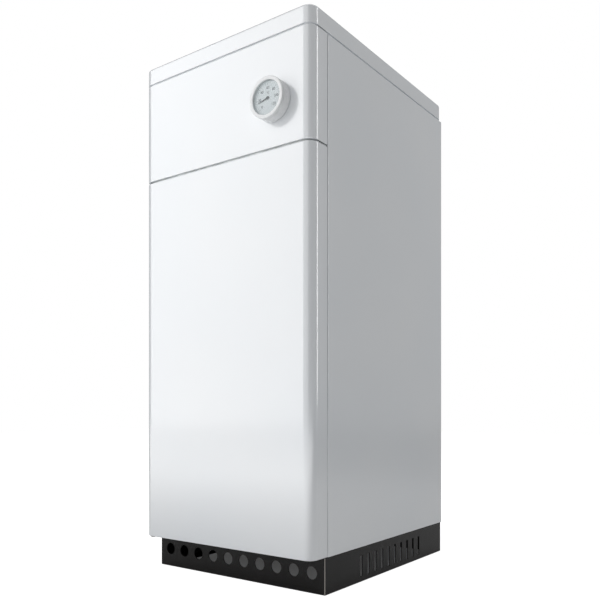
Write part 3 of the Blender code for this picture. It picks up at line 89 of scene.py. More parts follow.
# Lid
lid_skirt = 0.027
lid_rear_corner_radius = 0.014
lid_edge_radius = 0.004
lid_edge_steps = 10
lid_skirt_roll_stride = 4
lid_lip_inset = 0.003
flue_hole_gap = 0.005
flue_hole_roll = 0.0009

# Plinth
plinth_setback = 0.0355
plinth_fold = 0.015
air_hole_radius = 0.0097
air_hole_end_margin = 0.0241
air_hole_count = 10
air_hole_z = 0.030
air_slot_width = 0.006
air_slot_length = 0.033
air_slot_pitch = 0.022
air_slot_count = 10
air_slot_row_offset = 0.0045
air_slot_z = 0.025
hinge_tongue_half_width = 0.0045
# Width of the painted highlight along the plinth's front corner folds
painted_highlight_width = 0.0011

# Flue collar
flue_flange_width = 0.011
flue_wall = 0.0015
flue_bead_height = 0.0016
flue_bead_drop = 0.016
flue_bead_steps = 8
flue_bead_length_share = 1.4

# Insulation blanket
blanket_thickness = 0.015
blanket_corner_radius = 0.022
blanket_edge_radius = 0.0070
blanket_inner_edge = 0.0008
blanket_corner_steps = 8
blanket_side_steps = 44
blanket_level_steps = 78
blanket_dent = 0.0024
blanket_dent_size = 0.060
blanket_lap_depth = 0.0026
blanket_lap_width = 0.007
blanket_lap_shares = (0.27, 0.52, 0.77)

# Pipes
water_pipe_radius = 0.0212
water_pipe_wall = 0.0032
water_thread_pitch = 0.00231
water_thread_length = 0.022
gas_pipe_radius = 0.0085
gas_pipe_wall = 0.002
gas_pipe_bend = 0.022
gas_pipe_x = -0.150
gas_thread_pitch = 0.00181
gas_thread_length = 0.013
thread_depth_share = 0.55
thread_flank = 1.3
thread_flat = 0.15
thread_lead_in = 0.5
thread_steps = 8
thread_sides = 72
pipe_bend_steps = 12

# Gas control
valve_boss_reach = 0.010
valve_boss_radius = 0.011
valve_face_reach = 0.006
valve_face_radius = 0.018
valve_edge = 0.004
valve_outlet_x = -0.020
valve_bore_depth = 0.012
spindle_bore_radius = 0.0043
spindle_bore_depth = 0.030
outlet_bore_radius = 0.0083
cover_margin = 0.005
cover_thickness = 0.0015
cover_screw_margin = 0.0055
cover_screw_radius = 0.0030
cover_screw_height = 0.0018
boss_edge = 0.0008
regulator_cap_offset = (0.031, -0.012)
regulator_cap_radius = 0.0062
regulator_cap_height = 0.0036
pressure_tap_offset = (-0.034, 0.004)
pressure_tap_radius = 0.0032
pressure_tap_height = 0.0040
pressure_tap_nipple_share = 0.6
pressure_tap_edge_share = 0.15
knob_grip_height = 0.005
knob_grip_half_width = 0.004
knob_grip_reach = 0.017
knob_edge = 0.0015
knob_seat_depth = 0.011
knob_flutes = 24
knob_flute_sides = 8
knob_flute_depth = 0.0005
knob_mark_length = 0.007
knob_mark_half_width = 0.0006
knob_mark_sunk = 0.0001
knob_scale_radius = 0.0272
knob_scale_size = 0.0042
knob_scale_step = 45
knob_scale_start = 90
knob_scale_turn = 270
piezo_lip = 0.0012
piezo_ring_drop = 0.006
piezo_ring_depth = 0.0006
button_travel = 0.005
button_edge = 0.0012
button_hollow = 0.0008
button_hollow_shares = (0.05, 0.2, 0.4, 0.6, 0.8)

# Screws
screw_radius = 0.0034
screw_height = 0.0020
screw_cross = 0.0007
screw_dome_steps = 5
screw_dome_turn = math.radians(80)
screw_rim_share = 0.3
screw_cross_reach = 0.55
screw_cross_floor = 0.45
fold_screw_from_side = 0.007
fold_screw_margin = 0.050
fold_screw_count = 5
cleaning_screw_margin = 0.0034
cleaning_screw_radius = 0.0026
hex_screw_radius = 0.005
hex_shank_radius = 0.0025
hex_head = 0.004
hex_washer = 0.0009
hex_face_share = 0.86
burner_plate_screw_count = 4

# Sight hole
shutter_radius = 0.0145
shutter_arm_half_width = 0.004
shutter_pin_radius = 0.002

# Burner tubes, with the places of mouth, throat and body as shares of their length
burner_count = 3
burner_wall = 0.0015
burner_mouth_radius = 0.012
burner_throat_radius = 0.009
burner_mouth_share = 0.094
burner_throat_share = 0.194
burner_body_share = 0.36
burner_slot_count = 8
burner_slot_width = 0.002
burner_slot_half_length = 0.007

# Capillaries and other thin tubes
merge_distance = 0.00001
tube_end_angle = math.radians(60)
tube_rounding_levels = 2

# Thermometer
bezel_mouth_inset = 0.0055
gauge_neck_room = 0.0009
bezel_edge = 0.0013
bezel_back_edge = 0.0010
case_edge = 0.0008
case_front_edge = 0.0016
dial_degrees = (225, -45)
dial_top = 120
dial_number_step = 20
dial_number_radius = 0.0152
dial_number_size = 0.0056
dial_unit_size = 0.0046
dial_unit_rise = 0.0078
dial_tick_radius = 0.0212
dial_tick_length = 0.0022
dial_tick_width = 0.00026
dial_ticks_per_step = 4
main_tick_length_share = 1.6
main_tick_width_share = 1.8
print_thickness = 0.00008
print_weight_share = 0.012
print_curve_steps = 4
needle_degrees = 193.6
needle_length = 0.0180
needle_tail = 0.003
needle_half_width = 0.0009
needle_hub_radius = 0.0022
needle_tip_share = 0.25
needle_tail_share = 1.5
needle_hub_face_share = 0.7

# Camera, worked out from the photograph's vanishing lines, with its lens and sensor in millimetres
camera_place = (0.737, -1.0158, 0.2745)
camera_heading = 36.3
camera_lens = 41.27
camera_sensor = 36
camera_shift_y = 0.179

# Stage
floor_half = 6.0
floor_glow = 0.85
# Glow of the floor under the plinth: painted shade under the boiler, seen through its air holes
painted_shade_floor_glow = 0.05
floor_mirror_near = -0.45
floor_mirror_far = -1.70
floor_mirror_glow = 2.1
room_light = 0.24
room_reflected = 0.35

# Lamps: name, place, the point it faces, size and brightness
lamps = (
    ("left softbox", (-1.31, -1.72, 1.22), (0.0, -0.2, 1.22), (1.15, 2.07), 2.25),
    ("front card", (0.08, -2.0, 1.34), (0.08, 0.0, 1.34), (1.94, 2.34), 0.75),
    ("rear rim strip", (1.52, 0.98, 1.15), (0.17, -0.05, 1.15), (0.30, 1.7), 4.6),
    ("ceiling softbox", (0.2, 0.2, 2.6), (0.0, 0.0, 0.6), (1.8, 1.8), 0.9),
)


def linear(code):
    """An sRGB hex colour as linear red, green, blue and alpha."""
    values = [int(code[start:start + 2], 16) / 255 for start in (1, 3, 5)]
    return [((value + 0.055) / 1.055) ** 2.4 if value > 0.04045 else value / 12.92 for value in values] + [1]


def add_node(tree, kind, inputs=None, **settings):
    """One node of a tree with its settings, and its inputs set to values or linked to sockets."""
    node = tree.nodes.new(kind)
    for name, value in settings.items():
        setattr(node, name, value)
    for name, value in (inputs or {}).items():
        if isinstance(value, bpy.types.NodeSocket):
            tree.links.new(value, node.inputs[name])
        else:
            node.inputs[name].default_value = value
    return node


# Materials


def bare_material(name):
    """A new material, its node tree, its shader and the piece's own coordinates in metres."""
    material = bpy.data.materials.new(name)
    material.use_nodes = True
    tree = material.node_tree
    place = add_node(tree, "ShaderNodeTexCoord").outputs["Object"]
    return material, tree, tree.nodes["Principled BSDF"], place


def per_metre(millimetres):
    """The texture scale at which one feature is this long."""
    return 1000 / millimetres


def patches(tree, place, millimetres, low, high, detail=2):
    """A value that drifts from low to high over patches of this size."""
    cloud = add_node(tree, "ShaderNodeTexNoise", {"Vector": place, "Scale": per_metre(millimetres),
                                                  "Detail": detail})
    return add_node(tree, "ShaderNodeMapRange", {"Value": cloud.outputs[0], "From Min": 0.2, "From Max": 0.8,
                                                 "To Min": low, "To Max": high},
                    interpolation_type="SMOOTHSTEP").outputs[0]


def blended(tree, share, first, second):
    """A colour between two, each a hex code or a socket."""
    colours = [linear(colour) if isinstance(colour, str) else colour for colour in (first, second)]
    mix = add_node(tree, "ShaderNodeMix", {0: share, 6: colours[0], 7: colours[1]}, data_type="RGBA")
    return mix.outputs[2]


def relief(tree, height, depth, under=None):
    """A bump whose height of 0 to 1 stands for this depth in metres."""
    inputs = {"Height": height, "Distance": depth, "Strength": 1.0}
    if under is not None:
        inputs["Normal"] = under
    return add_node(tree, "ShaderNodeBump", inputs).outputs[0]


def set_shader(tree, shader, **values):
    """Sets the shader's sockets, whose names are given with underscores."""
    for name, value in values.items():
        socket = shader.inputs[name.replace("_", " ")]
        if isinstance(value, bpy.types.NodeSocket):
            tree.links.new(value, socket)
        else:
            socket.default_value = value


def baked_enamel():
    """Baked white enamel on steel sheet: a clear gloss over white, with faint orange peel."""
    material, tree, shader, place = bare_material("baked white enamel")
    colour = blended(tree, patches(tree, place, 160, 0, 1, detail=0), "#E7EBEF", "#EAEDF0")
    peel = patches(tree, place, 2.2, 0, 1, detail=1)
    set_shader(tree, shader, Base_Color=colour, Roughness=patches(tree, place, 90, 0.22, 0.26, detail=0),
               Normal=relief(tree, peel, 0.000004), Coat_Weight=1.0, Coat_Roughness=0.13, Coat_IOR=1.8)
    return material


def plinth_front():
    """Where the plinth's front sheet stands: set back from the door's face."""
    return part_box("door")[0].y + plinth_setback


def black_enamel():
    """Glossy black stove enamel: soft waves, a little dust, and a painted highlight of pale grey along the
    front corner folds.
    """
    material, tree, shader, place = bare_material("gloss black stove enamel")
    dust = patches(tree, place, 9, 0, 1, detail=6)
    axes = add_node(tree, "ShaderNodeSeparateXYZ", {"Vector": place})
    # Painted highlight: pale grey on the two front corner folds, standing in for the light that the bends
    # would catch
    across = add_node(tree, "ShaderNodeMath", {0: axes.outputs["X"]}, operation="ABSOLUTE").outputs[0]
    side_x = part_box("plinth")[1].x
    outer = add_node(tree, "ShaderNodeMath", {0: across, 1: side_x - painted_highlight_width}, operation="GREATER_THAN")
    front = add_node(tree, "ShaderNodeMath", {0: axes.outputs["Y"], 1: plinth_front() + painted_highlight_width},
                     operation="LESS_THAN")
    painted_corner_highlight = add_node(tree, "ShaderNodeMath", {0: outer.outputs[0], 1: front.outputs[0]}, operation="MULTIPLY")
    colour = blended(tree, painted_corner_highlight.outputs[0], blended(tree, dust, "#0B0A0A", "#151312"), "#A39E99")
    waves = patches(tree, place, 26, 0, 1, detail=1)
    set_shader(tree, shader, Base_Color=colour, Roughness=patches(tree, place, 14, 0.10, 0.20, detail=5),
               Normal=relief(tree, waves, 0.00003), Specular_IOR_Level=0.3, Coat_Weight=0.1,
               Coat_Roughness=0.04)
    return material


def galvanised():
    """Hot dip galvanised sheet: grey zinc in flat crystals, each with its own brightness."""
    material, tree, shader, place = bare_material("galvanised sheet steel")
    crystals = add_node(tree, "ShaderNodeTexVoronoi", {"Vector": place, "Scale": per_metre(9)})
    tone = add_node(tree, "ShaderNodeSeparateColor", {"Color": crystals.outputs["Color"]})
    soft = patches(tree, place, 70, 0, 1)
    colour = blended(tree, tone.outputs[0], "#8F9496", "#B4B8BA")
    stain = add_node(tree, "ShaderNodeMath", {0: soft, 1: 0.25}, operation="MULTIPLY").outputs[0]
    colour = blended(tree, stain, colour, "#9C9A94")
    rough = add_node(tree, "ShaderNodeMapRange", {"Value": tone.outputs[1], "To Min": 0.34, "To Max": 0.52})
    set_shader(tree, shader, Base_Color=colour, Metallic=0.85, Roughness=rough.outputs[0],
               Normal=relief(tree, tone.outputs[0], 0.00002))
    return material


def stove_paint():
    """Dull dark grey heat resistant paint, brushed thickly on boiler plate, rusting in small spots."""
    material, tree, shader, place = bare_material("heat resistant stove paint")
    rust = patches(tree, place, 6, -1.6, 1.0, detail=8)
    colour = blended(tree, patches(tree, place, 40, 0, 1, detail=4), "#35383A", "#45484A")
    colour = blended(tree, add_node(tree, "ShaderNodeClamp", {"Value": rust}).outputs[0], colour, "#6B4630")
    grain = patches(tree, place, 1.6, 0, 1, detail=4)
    set_shader(tree, shader, Base_Color=colour, Metallic=0.15, Roughness=patches(tree, place, 12, 0.5, 0.72),
               Normal=relief(tree, grain, 0.00008))
    return material


def drawn_metal(name, dark, light, rough_low, rough_high, line=0.9, metallic=1.0):
    """Drawn or rolled metal: fine lines along its length, and duller and brighter patches."""
    material, tree, shader, place = bare_material(name)
    stretched = add_node(tree, "ShaderNodeMapping", {"Vector": place, "Scale": (1, 0.06, 1)}).outputs[0]
    lines = patches(tree, stretched, line, 0, 1, detail=3)
    tarnish = patches(tree, place, 16, 0, 1, detail=5)
    colour = blended(tree, tarnish, dark, light)
    set_shader(tree, shader, Base_Color=colour, Metallic=metallic,
               Roughness=patches(tree, place, 11, rough_low, rough_high, detail=3),
               Normal=relief(tree, lines, 0.00001))
    return material


def stainless():
    """Rolled stainless steel: bright grey with fine rolling lines."""
    return drawn_metal("rolled stainless steel", "#A09E9A", "#BDBBB6", 0.22, 0.38)


def heated_stainless():
    """Stainless steel that has been hot: straw to brown and blue oxide on a drawn surface."""
    material, tree, shader, place = bare_material("heat tinted stainless steel")
    depth = add_node(tree, "ShaderNodeSeparateXYZ", {"Vector": place}).outputs["Y"]
    burner_low, burner_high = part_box("burner_tube_1")
    heat = add_node(tree, "ShaderNodeMapRange", {"Value": depth, "From Min": burner_low.y,
                                                 "From Max": burner_high.y}).outputs[0]
    drift = patches(tree, place, 30, -0.12, 0.12, detail=3)
    heat = add_node(tree, "ShaderNodeMath", {0: heat, 1: drift}, operation="ADD").outputs[0]
    tint = blended(tree, patches(tree, place, 25, 0, 1), "#8A6A48", "#5A5F78")
    colour = blended(tree, add_node(tree, "ShaderNodeClamp", {"Value": heat}).outputs[0], "#B4B1AA", tint)
    lines = patches(tree, place, 0.9, 0, 1)
    set_shader(tree, shader, Base_Color=colour, Metallic=1.0, Roughness=patches(tree, place, 12, 0.28, 0.45),
               Normal=relief(tree, lines, 0.00001))
    return material


def machined_brass():
    """Turned brass: warm yellow, a little tarnished."""
    return drawn_metal("turned brass", "#8F6F35", "#C09A52", 0.20, 0.40)


def soft_copper():
    """Soft drawn copper tube: pink brown, dulled by handling."""
    return drawn_metal("soft drawn copper", "#8E5238", "#C07A55", 0.24, 0.42)


def sand_cast():
    """Die cast aluminium, shot blasted: pale grey metal with an even fine grain."""
    material, tree, shader, place = bare_material("shot blasted cast aluminium")
    grain = patches(tree, place, 0.9, 0, 1, detail=3)
    colour = blended(tree, patches(tree, place, 25, 0, 1, detail=4), "#9A9D9F", "#B0B3B5")
    set_shader(tree, shader, Base_Color=colour, Metallic=0.85, Roughness=patches(tree, place, 8, 0.42, 0.58),
               Normal=relief(tree, grain, 0.00006))
    return material


def moulded_plastic(name, dark, light, rough_low, rough_high, grain_depth):
    """Injection moulded plastic with a fine spark eroded grain."""
    material, tree, shader, place = bare_material(name)
    colour = blended(tree, patches(tree, place, 20, 0, 1, detail=3), dark, light)
    grain = patches(tree, place, 0.7, 0, 1, detail=2)
    set_shader(tree, shader, Base_Color=colour, Roughness=patches(tree, place, 8, rough_low, rough_high),
               Normal=relief(tree, grain, grain_depth), IOR=1.49)
    return material


def foil_facing():
    """Aluminium foil on wool blanket: crumpled and bright, with a square net of threads under it."""
    material, tree, shader, place = bare_material("net reinforced aluminium foil")
    axes = add_node(tree, "ShaderNodeSeparateXYZ", {"Vector": place})
    net = None
    for axis in ("X", "Y", "Z"):
        turns = add_node(tree, "ShaderNodeMath", {0: axes.outputs[axis], 1: per_metre(12)},
                         operation="MULTIPLY")
        tooth = add_node(tree, "ShaderNodeMath", {0: turns.outputs[0], 1: 1.0}, operation="PINGPONG")
        line = add_node(tree, "ShaderNodeMath", {0: tooth.outputs[0], 1: 0.06},
                        operation="LESS_THAN").outputs[0]
        if net is not None:
            line = add_node(tree, "ShaderNodeMath", {0: net, 1: line}, operation="MAXIMUM").outputs[0]
        net = line
    creases = add_node(tree, "ShaderNodeTexVoronoi", {"Vector": place, "Scale": per_metre(26)},
                       feature="DISTANCE_TO_EDGE").outputs["Distance"]
    crumple = patches(tree, place, 15, 0, 1, detail=4)
    normal = relief(tree, creases, 0.0012)
    normal = relief(tree, crumple, 0.0011, under=normal)
    normal = relief(tree, net, 0.0002, under=normal)
    colour = blended(tree, crumple, "#A8ABAD", "#C9CBCC")
    set_shader(tree, shader, Base_Color=colour, Metallic=0.92, Roughness=patches(tree, place, 9, 0.24, 0.4),
               Normal=normal)
    return material


def clear_glass():
    """Thin flat glass: it hardly shows from in front and turns bright where it is seen on edge."""
    material, tree, shader, place = bare_material("thin clear glass")
    edge = add_node(tree, "ShaderNodeLayerWeight", {"Blend": 0.3}).outputs["Facing"]
    smear = patches(tree, place, 14, 0.0, 0.03, detail=4)
    shown = add_node(tree, "ShaderNodeMath", {0: edge, 1: 0.4, 2: smear}, operation="MULTIPLY_ADD").outputs[0]
    set_shader(tree, shader, Base_Color=linear("#E9F2F4"), Roughness=0.04, Alpha=shown, IOR=1.52)
    return material


def printed(name, dark, light, rough):
    """Screen print: a flat ink with a slightly uneven film."""
    material, tree, shader, place = bare_material(name)
    colour = blended(tree, patches(tree, place, 3, 0, 1, detail=3), dark, light)
    set_shader(tree, shader, Base_Color=colour, Roughness=rough)
    return material


def probe_and_lead(name, probe_dark, probe_light, lead_dark, lead_light, metallic, rough):
    """A probe inside the burner chamber and its lead outside it, which differ in colour."""
    material, tree, shader, place = bare_material(name)
    depth = add_node(tree, "ShaderNodeSeparateXYZ", {"Vector": place}).outputs["Y"]
    inside = add_node(tree, "ShaderNodeMath", {0: depth, 1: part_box("burner_chamber")[0].y},
                      operation="GREATER_THAN").outputs[0]
    cloud = patches(tree, place, 6, 0, 1, detail=3)
    lead = blended(tree, cloud, lead_dark, lead_light)
    probe = blended(tree, cloud, probe_dark, probe_light)
    set_shader(tree, shader, Base_Color=blended(tree, inside, lead, probe), Metallic=metallic,
               Roughness=patches(tree, place, 5, rough - 0.06, rough + 0.06))
    return material


white_paint = baked_enamel()
black_paint = black_enamel()
zinc = galvanised()
boiler_paint = stove_paint()
steel = stainless()
hot_steel = heated_stainless()
brass = machined_brass()
copper = soft_copper()
pipe_steel = drawn_metal("mill scaled pipe steel", "#3C3E40", "#55585A", 0.42, 0.6, metallic=0.7)
casting = sand_cast()
black_moulding = moulded_plastic("black moulded bakelite", "#141516", "#1E1F21", 0.34, 0.46, 0.00003)
white_moulding = moulded_plastic("white moulded plastic", "#F3F5F6", "#F8F9FA", 0.22, 0.30, 0.000005)
foil = foil_facing()
glass = clear_glass()
dial_white = printed("dial enamel", "#D9E0E3", "#E2E8EA", 0.35)
dial_ink = printed("dial ink", "#4A5057", "#5A6067", 0.5)
tick_ink = printed("pale dial ink", "#8A9095", "#989DA2", 0.5)
mark_ink = printed("white marking ink", "#D8DADA", "#E6E7E6", 0.45)
needle_black = printed("needle lacquer", "#0E0F11", "#191B1D", 0.35)
ignition = probe_and_lead("glazed ceramic and silicone lead", "#DAD4C6", "#ECE7DC", "#5E231D", "#742C24",
                          metallic=0.0, rough=0.35)
sensing = probe_and_lead("steel probe and copper lead", "#8F8B84", "#A8A49C", "#8E5238", "#BD7853",
                         metallic=1.0, rough=0.34)


# Mesh helpers


def put_in_scene(name, data):
    """A new object in the scene with this mesh, text, lamp or camera."""
    thing = bpy.data.objects.new(name, data)
    bpy.context.scene.collection.objects.link(thing)
    return thing


def solid(name, vertices, faces):
    """An object from points and faces, with its faces turned outwards."""
    mesh = bpy.data.meshes.new(name)
    mesh.from_pydata(vertices, [], faces)
    work = bmesh.new()
    work.from_mesh(mesh)
    bmesh.ops.remove_doubles(work, verts=work.verts, dist=weld_distance)
    bmesh.ops.recalc_face_normals(work, faces=work.faces)
    work.to_mesh(mesh)
    work.free()
    return put_in_scene(name, mesh)


def loft(name, rings, closed=False):
    """A skin over rings of equal count, capped at both ends, or joined end to start where it is closed."""
    count = len(rings[0])
    vertices = [point for ring in rings for point in ring]
    faces = []
    for span in range(len(rings) if closed else len(rings) - 1):
        here = span * count
        there = (span + 1) % len(rings) * count
        for side in range(count):
            after = (side + 1) % count
            faces.append((here + side, here + after, there + after, there + side))
    if not closed:
        faces.append(tuple(range(count)))
        faces.append(tuple(range(len(vertices) - count, len(vertices))))
    return solid(name, vertices, faces)


def box(name, low, high):
    """A plain block between its lowest and its highest corner."""
    corners = [(x, y, z) for x in (low[0], high[0]) for y in (low[1], high[1]) for z in (low[2], high[2])]
    sides = ((0, 1, 3, 2), (4, 6, 7, 5), (0, 4, 5, 1), (2, 3, 7, 6), (0, 2, 6, 4), (1, 5, 7, 3))
    return solid(name, corners, sides)


def place_point(along, point, distance):
    """A point of a plane outline, in X, Y, Z order, at a distance along the axis that it lacks."""
    if along == "X":
        return (distance, point[0], point[1])
    if along == "Y":
        return (point[0], distance, point[1])
    return (point[0], point[1], distance)


def round_point(centre, radius, angle):
    """The plane point at this angle round a centre."""
    return (centre[0] + radius * math.cos(angle), centre[1] + radius * math.sin(angle))


def circle(centre, radius, sides):
    """Plane points in even steps round a circle."""
    return [round_point(centre, radius, 2 * math.pi * side / sides) for side in range(sides)]


def turned(name, centre, profile, along, sides=fine_sides, closed=False):
    """A turned piece, whose profile points are radius and distance along the axis."""
    rings = [[place_point(along, point, distance) for point in circle(centre, radius, sides)]
             for radius, distance in profile]
    return loft(name, rings, closed)


def arc(centre, radius, from_degrees, to_degrees, steps):
    """Plane points in even steps along an arc, both ends included."""
    turn = to_degrees - from_degrees
    angles = [math.radians(from_degrees + turn * step / steps) for step in range(steps + 1)]
    return [round_point(centre, radius, angle) for angle in angles]


def quarter_turns(steps=fold_steps):
    """Angles from nothing to a quarter turn, in even steps."""
    return [math.pi / 2 * step / steps for step in range(steps + 1)]


def roll_steps(roll):
    """How far a rolled edge is drawn in and how far it has risen, from its face to its full width."""
    return [(roll * (1 - math.sin(turn)), roll * (1 - math.cos(turn))) for turn in quarter_turns()]


def rolled_edge(radius, level, roll, side=1):
    """Profile points from a face at this level round its rolled edge, towards one side."""
    return [(radius - drawn, level + side * rise) for drawn, rise in roll_steps(roll)]


def rod(name, centre, radius, start, end, along, sides=small_sides):
    """A plain round bar along an axis."""
    return turned(name, centre, [(radius, start), (radius, end)], along, sides)


def chamfered(name, centre, radius, face, root, along, edge=boss_edge):
    """A turned boss from its root to its face, with a chamfer round the face."""
    step = edge if root > face else -edge
    return turned(name, centre, [(radius - edge, face), (radius, face + step), (radius, root)], along)


def rounded_slab(name, outline, bottom, top, radius, inset=0):
    """A slab with this plan whose top and bottom edges are rolled, all drawn in by an inset."""
    roll = max(radius - inset, casing_sheet / 4)
    levels = [(drawn, bottom + inset + rise) for drawn, rise in roll_steps(roll)]
    levels += [(drawn, top - inset - rise) for drawn, rise in roll_steps(roll)[::-1]]
    return loft(name, [[(x, y, level) for x, y in outline(inset + drawn)] for drawn, level in levels])


def combine(target, operation, others):
    """Changes the target by the other shapes, which are used up."""
    for other in others:
        modifier = target.modifiers.new(other.name, "BOOLEAN")
        modifier.operation = operation
        modifier.solver = "EXACT"
        modifier.object = other
    settle(target)
    for other in others:
        bpy.data.objects.remove(other)


def cut(target, *others):
    """Takes the other shapes out of the target."""
    combine(target, "DIFFERENCE", others)


def join(target, *others):
    """Merges the other shapes into the target."""
    combine(target, "UNION", others)


def plain_mesh(thing):
    """The mesh that an object and its modifiers come to."""
    bpy.context.view_layer.update()
    return bpy.data.meshes.new_from_object(thing.evaluated_get(bpy.context.evaluated_depsgraph_get()))


def settle(thing):
    """Turns an object and its modifiers into a plain mesh."""
    mesh = plain_mesh(thing)
    thing.modifiers.clear()
    thing.data = mesh


def soften(thing, width):
    """Rounds the sharp edges and shades the rest smooth, so that flat faces stay flat."""
    bevel = thing.modifiers.new("edges", "BEVEL")
    bevel.width = width
    bevel.segments = soft_edge_steps
    bevel.limit_method = "ANGLE"
    bevel.angle_limit = math.radians(soft_edge_degrees)
    bevel.use_clamp_overlap = True
    shade(thing)


def round_block(thing, width):
    """Rounds every edge of a plain block."""
    rounding = thing.modifiers.new("edges", "BEVEL")
    rounding.width = width
    rounding.segments = block_edge_steps
    settle(thing)


def shade(thing, degrees=smooth_degrees):
    """Smooth shading that keeps flat faces flat and sharp edges sharp."""
    settle(thing)
    thing.data.shade_smooth()
    thing.data.set_sharp_from_angle(angle=math.radians(degrees))
    weighted = thing.modifiers.new("flat faces", "WEIGHTED_NORMAL")
    weighted.keep_sharp = True
    settle(thing)


def dress(thing, material, body, slot, *replaced):
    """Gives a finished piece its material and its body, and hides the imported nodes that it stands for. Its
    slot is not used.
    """
    thing.data.materials.clear()
    thing.data.materials.append(material)
    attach(thing, body)
    if replaced:
        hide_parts(*replaced)


def node_tree_with(name, sizes):
    """A Geometry Nodes tree with named inputs, its input node and its output node."""
    tree = bpy.data.node_groups.new(name, "GeometryNodeTree")
    tree.interface.new_socket("Geometry", in_out="INPUT", socket_type="NodeSocketGeometry")
    for size, kind in sizes:
        tree.interface.new_socket(size, in_out="INPUT", socket_type=kind)
    tree.interface.new_socket("Geometry", in_out="OUTPUT", socket_type="NodeSocketGeometry")
    return tree, add_node(tree, "NodeGroupInput"), add_node(tree, "NodeGroupOutput")


def run_tree(thing, tree, values):
    """Puts a tree on a piece with its sizes, and keeps the result as a plain mesh."""
    modifier = thing.modifiers.new(tree.name, "NODES")
    modifier.node_group = tree
    for item in tree.interface.items_tree:
        if item.in_out == "INPUT" and item.name in values:
            modifier[item.identifier] = values[item.name]
    settle(thing)


def finish_tree(tree, copies, given, result):
    """Makes a tree's copies real, gives them their material and puts them out."""
    real = add_node(tree, "GeometryNodeRealizeInstances", {"Geometry": copies.outputs[0]})
    painted = add_node(tree, "GeometryNodeSetMaterial", {"Geometry": real.outputs[0],
                                                         "Material": given.outputs["Material"]})
    tree.links.new(painted.outputs[0], result.inputs[0])


def row_tree():
    """Repeats a piece along a row."""
    inputs = (("Count", "NodeSocketInt"), ("Start", "NodeSocketVector"), ("Step", "NodeSocketVector"),
              ("Material", "NodeSocketMaterial"))
    tree, given, result = node_tree_with("row", inputs)
    line = add_node(tree, "GeometryNodeMeshLine", {"Count": given.outputs["Count"],
                                                   "Start Location": given.outputs["Start"],
                                                   "Offset": given.outputs["Step"]})
    copies = add_node(tree, "GeometryNodeInstanceOnPoints", {"Points": line.outputs[0],
                                                             "Instance": given.outputs["Geometry"]})
    finish_tree(tree, copies, given, result)
    return tree


def ring_tree():
    """Repeats a piece round a ring in a plane that faces -Y, each copy turned outwards."""
    inputs = (("Count", "NodeSocketInt"), ("Centre", "NodeSocketVector"), ("Radius", "NodeSocketFloat"),
              ("First", "NodeSocketFloat"), ("Step", "NodeSocketFloat"), ("Material", "NodeSocketMaterial"))
    tree, given, result = node_tree_with("ring", inputs)
    index = add_node(tree, "GeometryNodeInputIndex").outputs[0]
    turn = add_node(tree, "ShaderNodeMath", {0: index, 1: given.outputs["Step"], 2: given.outputs["First"]},
                    operation="MULTIPLY_ADD").outputs[0]
    across = add_node(tree, "ShaderNodeMath", {0: turn}, operation="COSINE").outputs[0]
    up = add_node(tree, "ShaderNodeMath", {0: turn}, operation="SINE").outputs[0]
    spoke = add_node(tree, "ShaderNodeCombineXYZ", {"X": across, "Z": up}).outputs[0]
    reach = add_node(tree, "ShaderNodeVectorMath", {0: spoke, "Scale": given.outputs["Radius"]},
                     operation="SCALE").outputs[0]
    spot = add_node(tree, "ShaderNodeVectorMath", {0: reach, 1: given.outputs["Centre"]}).outputs[0]
    points = add_node(tree, "GeometryNodePoints", {"Count": given.outputs["Count"], "Position": spot})
    back = add_node(tree, "ShaderNodeMath", {0: turn, 1: -1.0}, operation="MULTIPLY").outputs[0]
    lean = add_node(tree, "ShaderNodeCombineXYZ", {"Y": back}).outputs[0]
    copies = add_node(tree, "GeometryNodeInstanceOnPoints", {"Points": points.outputs[0], "Rotation": lean,
                                                             "Instance": given.outputs["Geometry"]})
    finish_tree(tree, copies, given, result)
    return tree


in_a_row = row_tree()
in_a_ring = ring_tree()


# Casing


def front_outline(inset, back_y):
    """Plan of the casing's front, drawn in by an inset: two round corners and an open back."""
    low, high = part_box("door")
    radius = front_corner_radius - inset
    middle_y = low.y + front_corner_radius
    points = [(low.x + inset, back_y)]
    points += arc((low.x + front_corner_radius, middle_y), radius, 180, 270, corner_steps)
    points += arc((high.x - front_corner_radius, middle_y), radius, 270, 360, corner_steps)
    points.append((high.x - inset, back_y))
    return points


def hinge_place():
    """Plan point of the door's hinge axis."""
    low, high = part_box("door")
    return (low.x + hinge_from_side, low.y + hinge_from_front)


def front_pressing(name, node):
    """A front sheet that wraps round both corners, with rolled folds along its top and bottom edges."""
    low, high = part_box(node)
    shell = rounded_slab(name, lambda inset: front_outline(inset, high.y), low.z, high.z, fold_radius)
    hollow = rounded_slab(name + " hollow", lambda inset: front_outline(inset, high.y + overrun),
                          low.z, high.z, fold_radius, casing_sheet)
    window = box(name + " window", (low.x + casing_sheet, low.y + front_fold_depth, low.z - overrun),
                 (high.x - casing_sheet, high.y + overrun, high.z + overrun))
    cut(shell, hollow, window)
    return shell


def make_front():
    """The door and the fixed control panel above it."""
    door = front_pressing("door_pressing", "door")
    low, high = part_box("door")
    cut(door, rod("door pin room", hinge_place(), hinge_pin_hole_radius, low.z - overrun, high.z + overrun,
                  "Z"))
    soften(door, cut_edge)
    dress(door, white_paint, "door", "white_enamel", "door")
    panel = front_pressing("control_panel_pressing", "control_panel")
    low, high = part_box("control_panel")
    cut(panel, rod("pin head room", hinge_place(), hinge_head_hole_radius, low.z - overrun, low.z + overrun,
                   "Z"))
    case_low, case_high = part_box("gauge_case")
    middle = (case_low + case_high) / 2
    neck = (case_high.x - case_low.x) / 2 - bezel_mouth_inset + gauge_neck_room
    cut(panel, rod("gauge hole", (middle.x, middle.z), neck, low.y - overrun, low.y + overrun, "Y",
                   fine_sides))
    soften(panel, cut_edge)
    dress(panel, white_paint, "casing", "white_enamel", "control_panel")


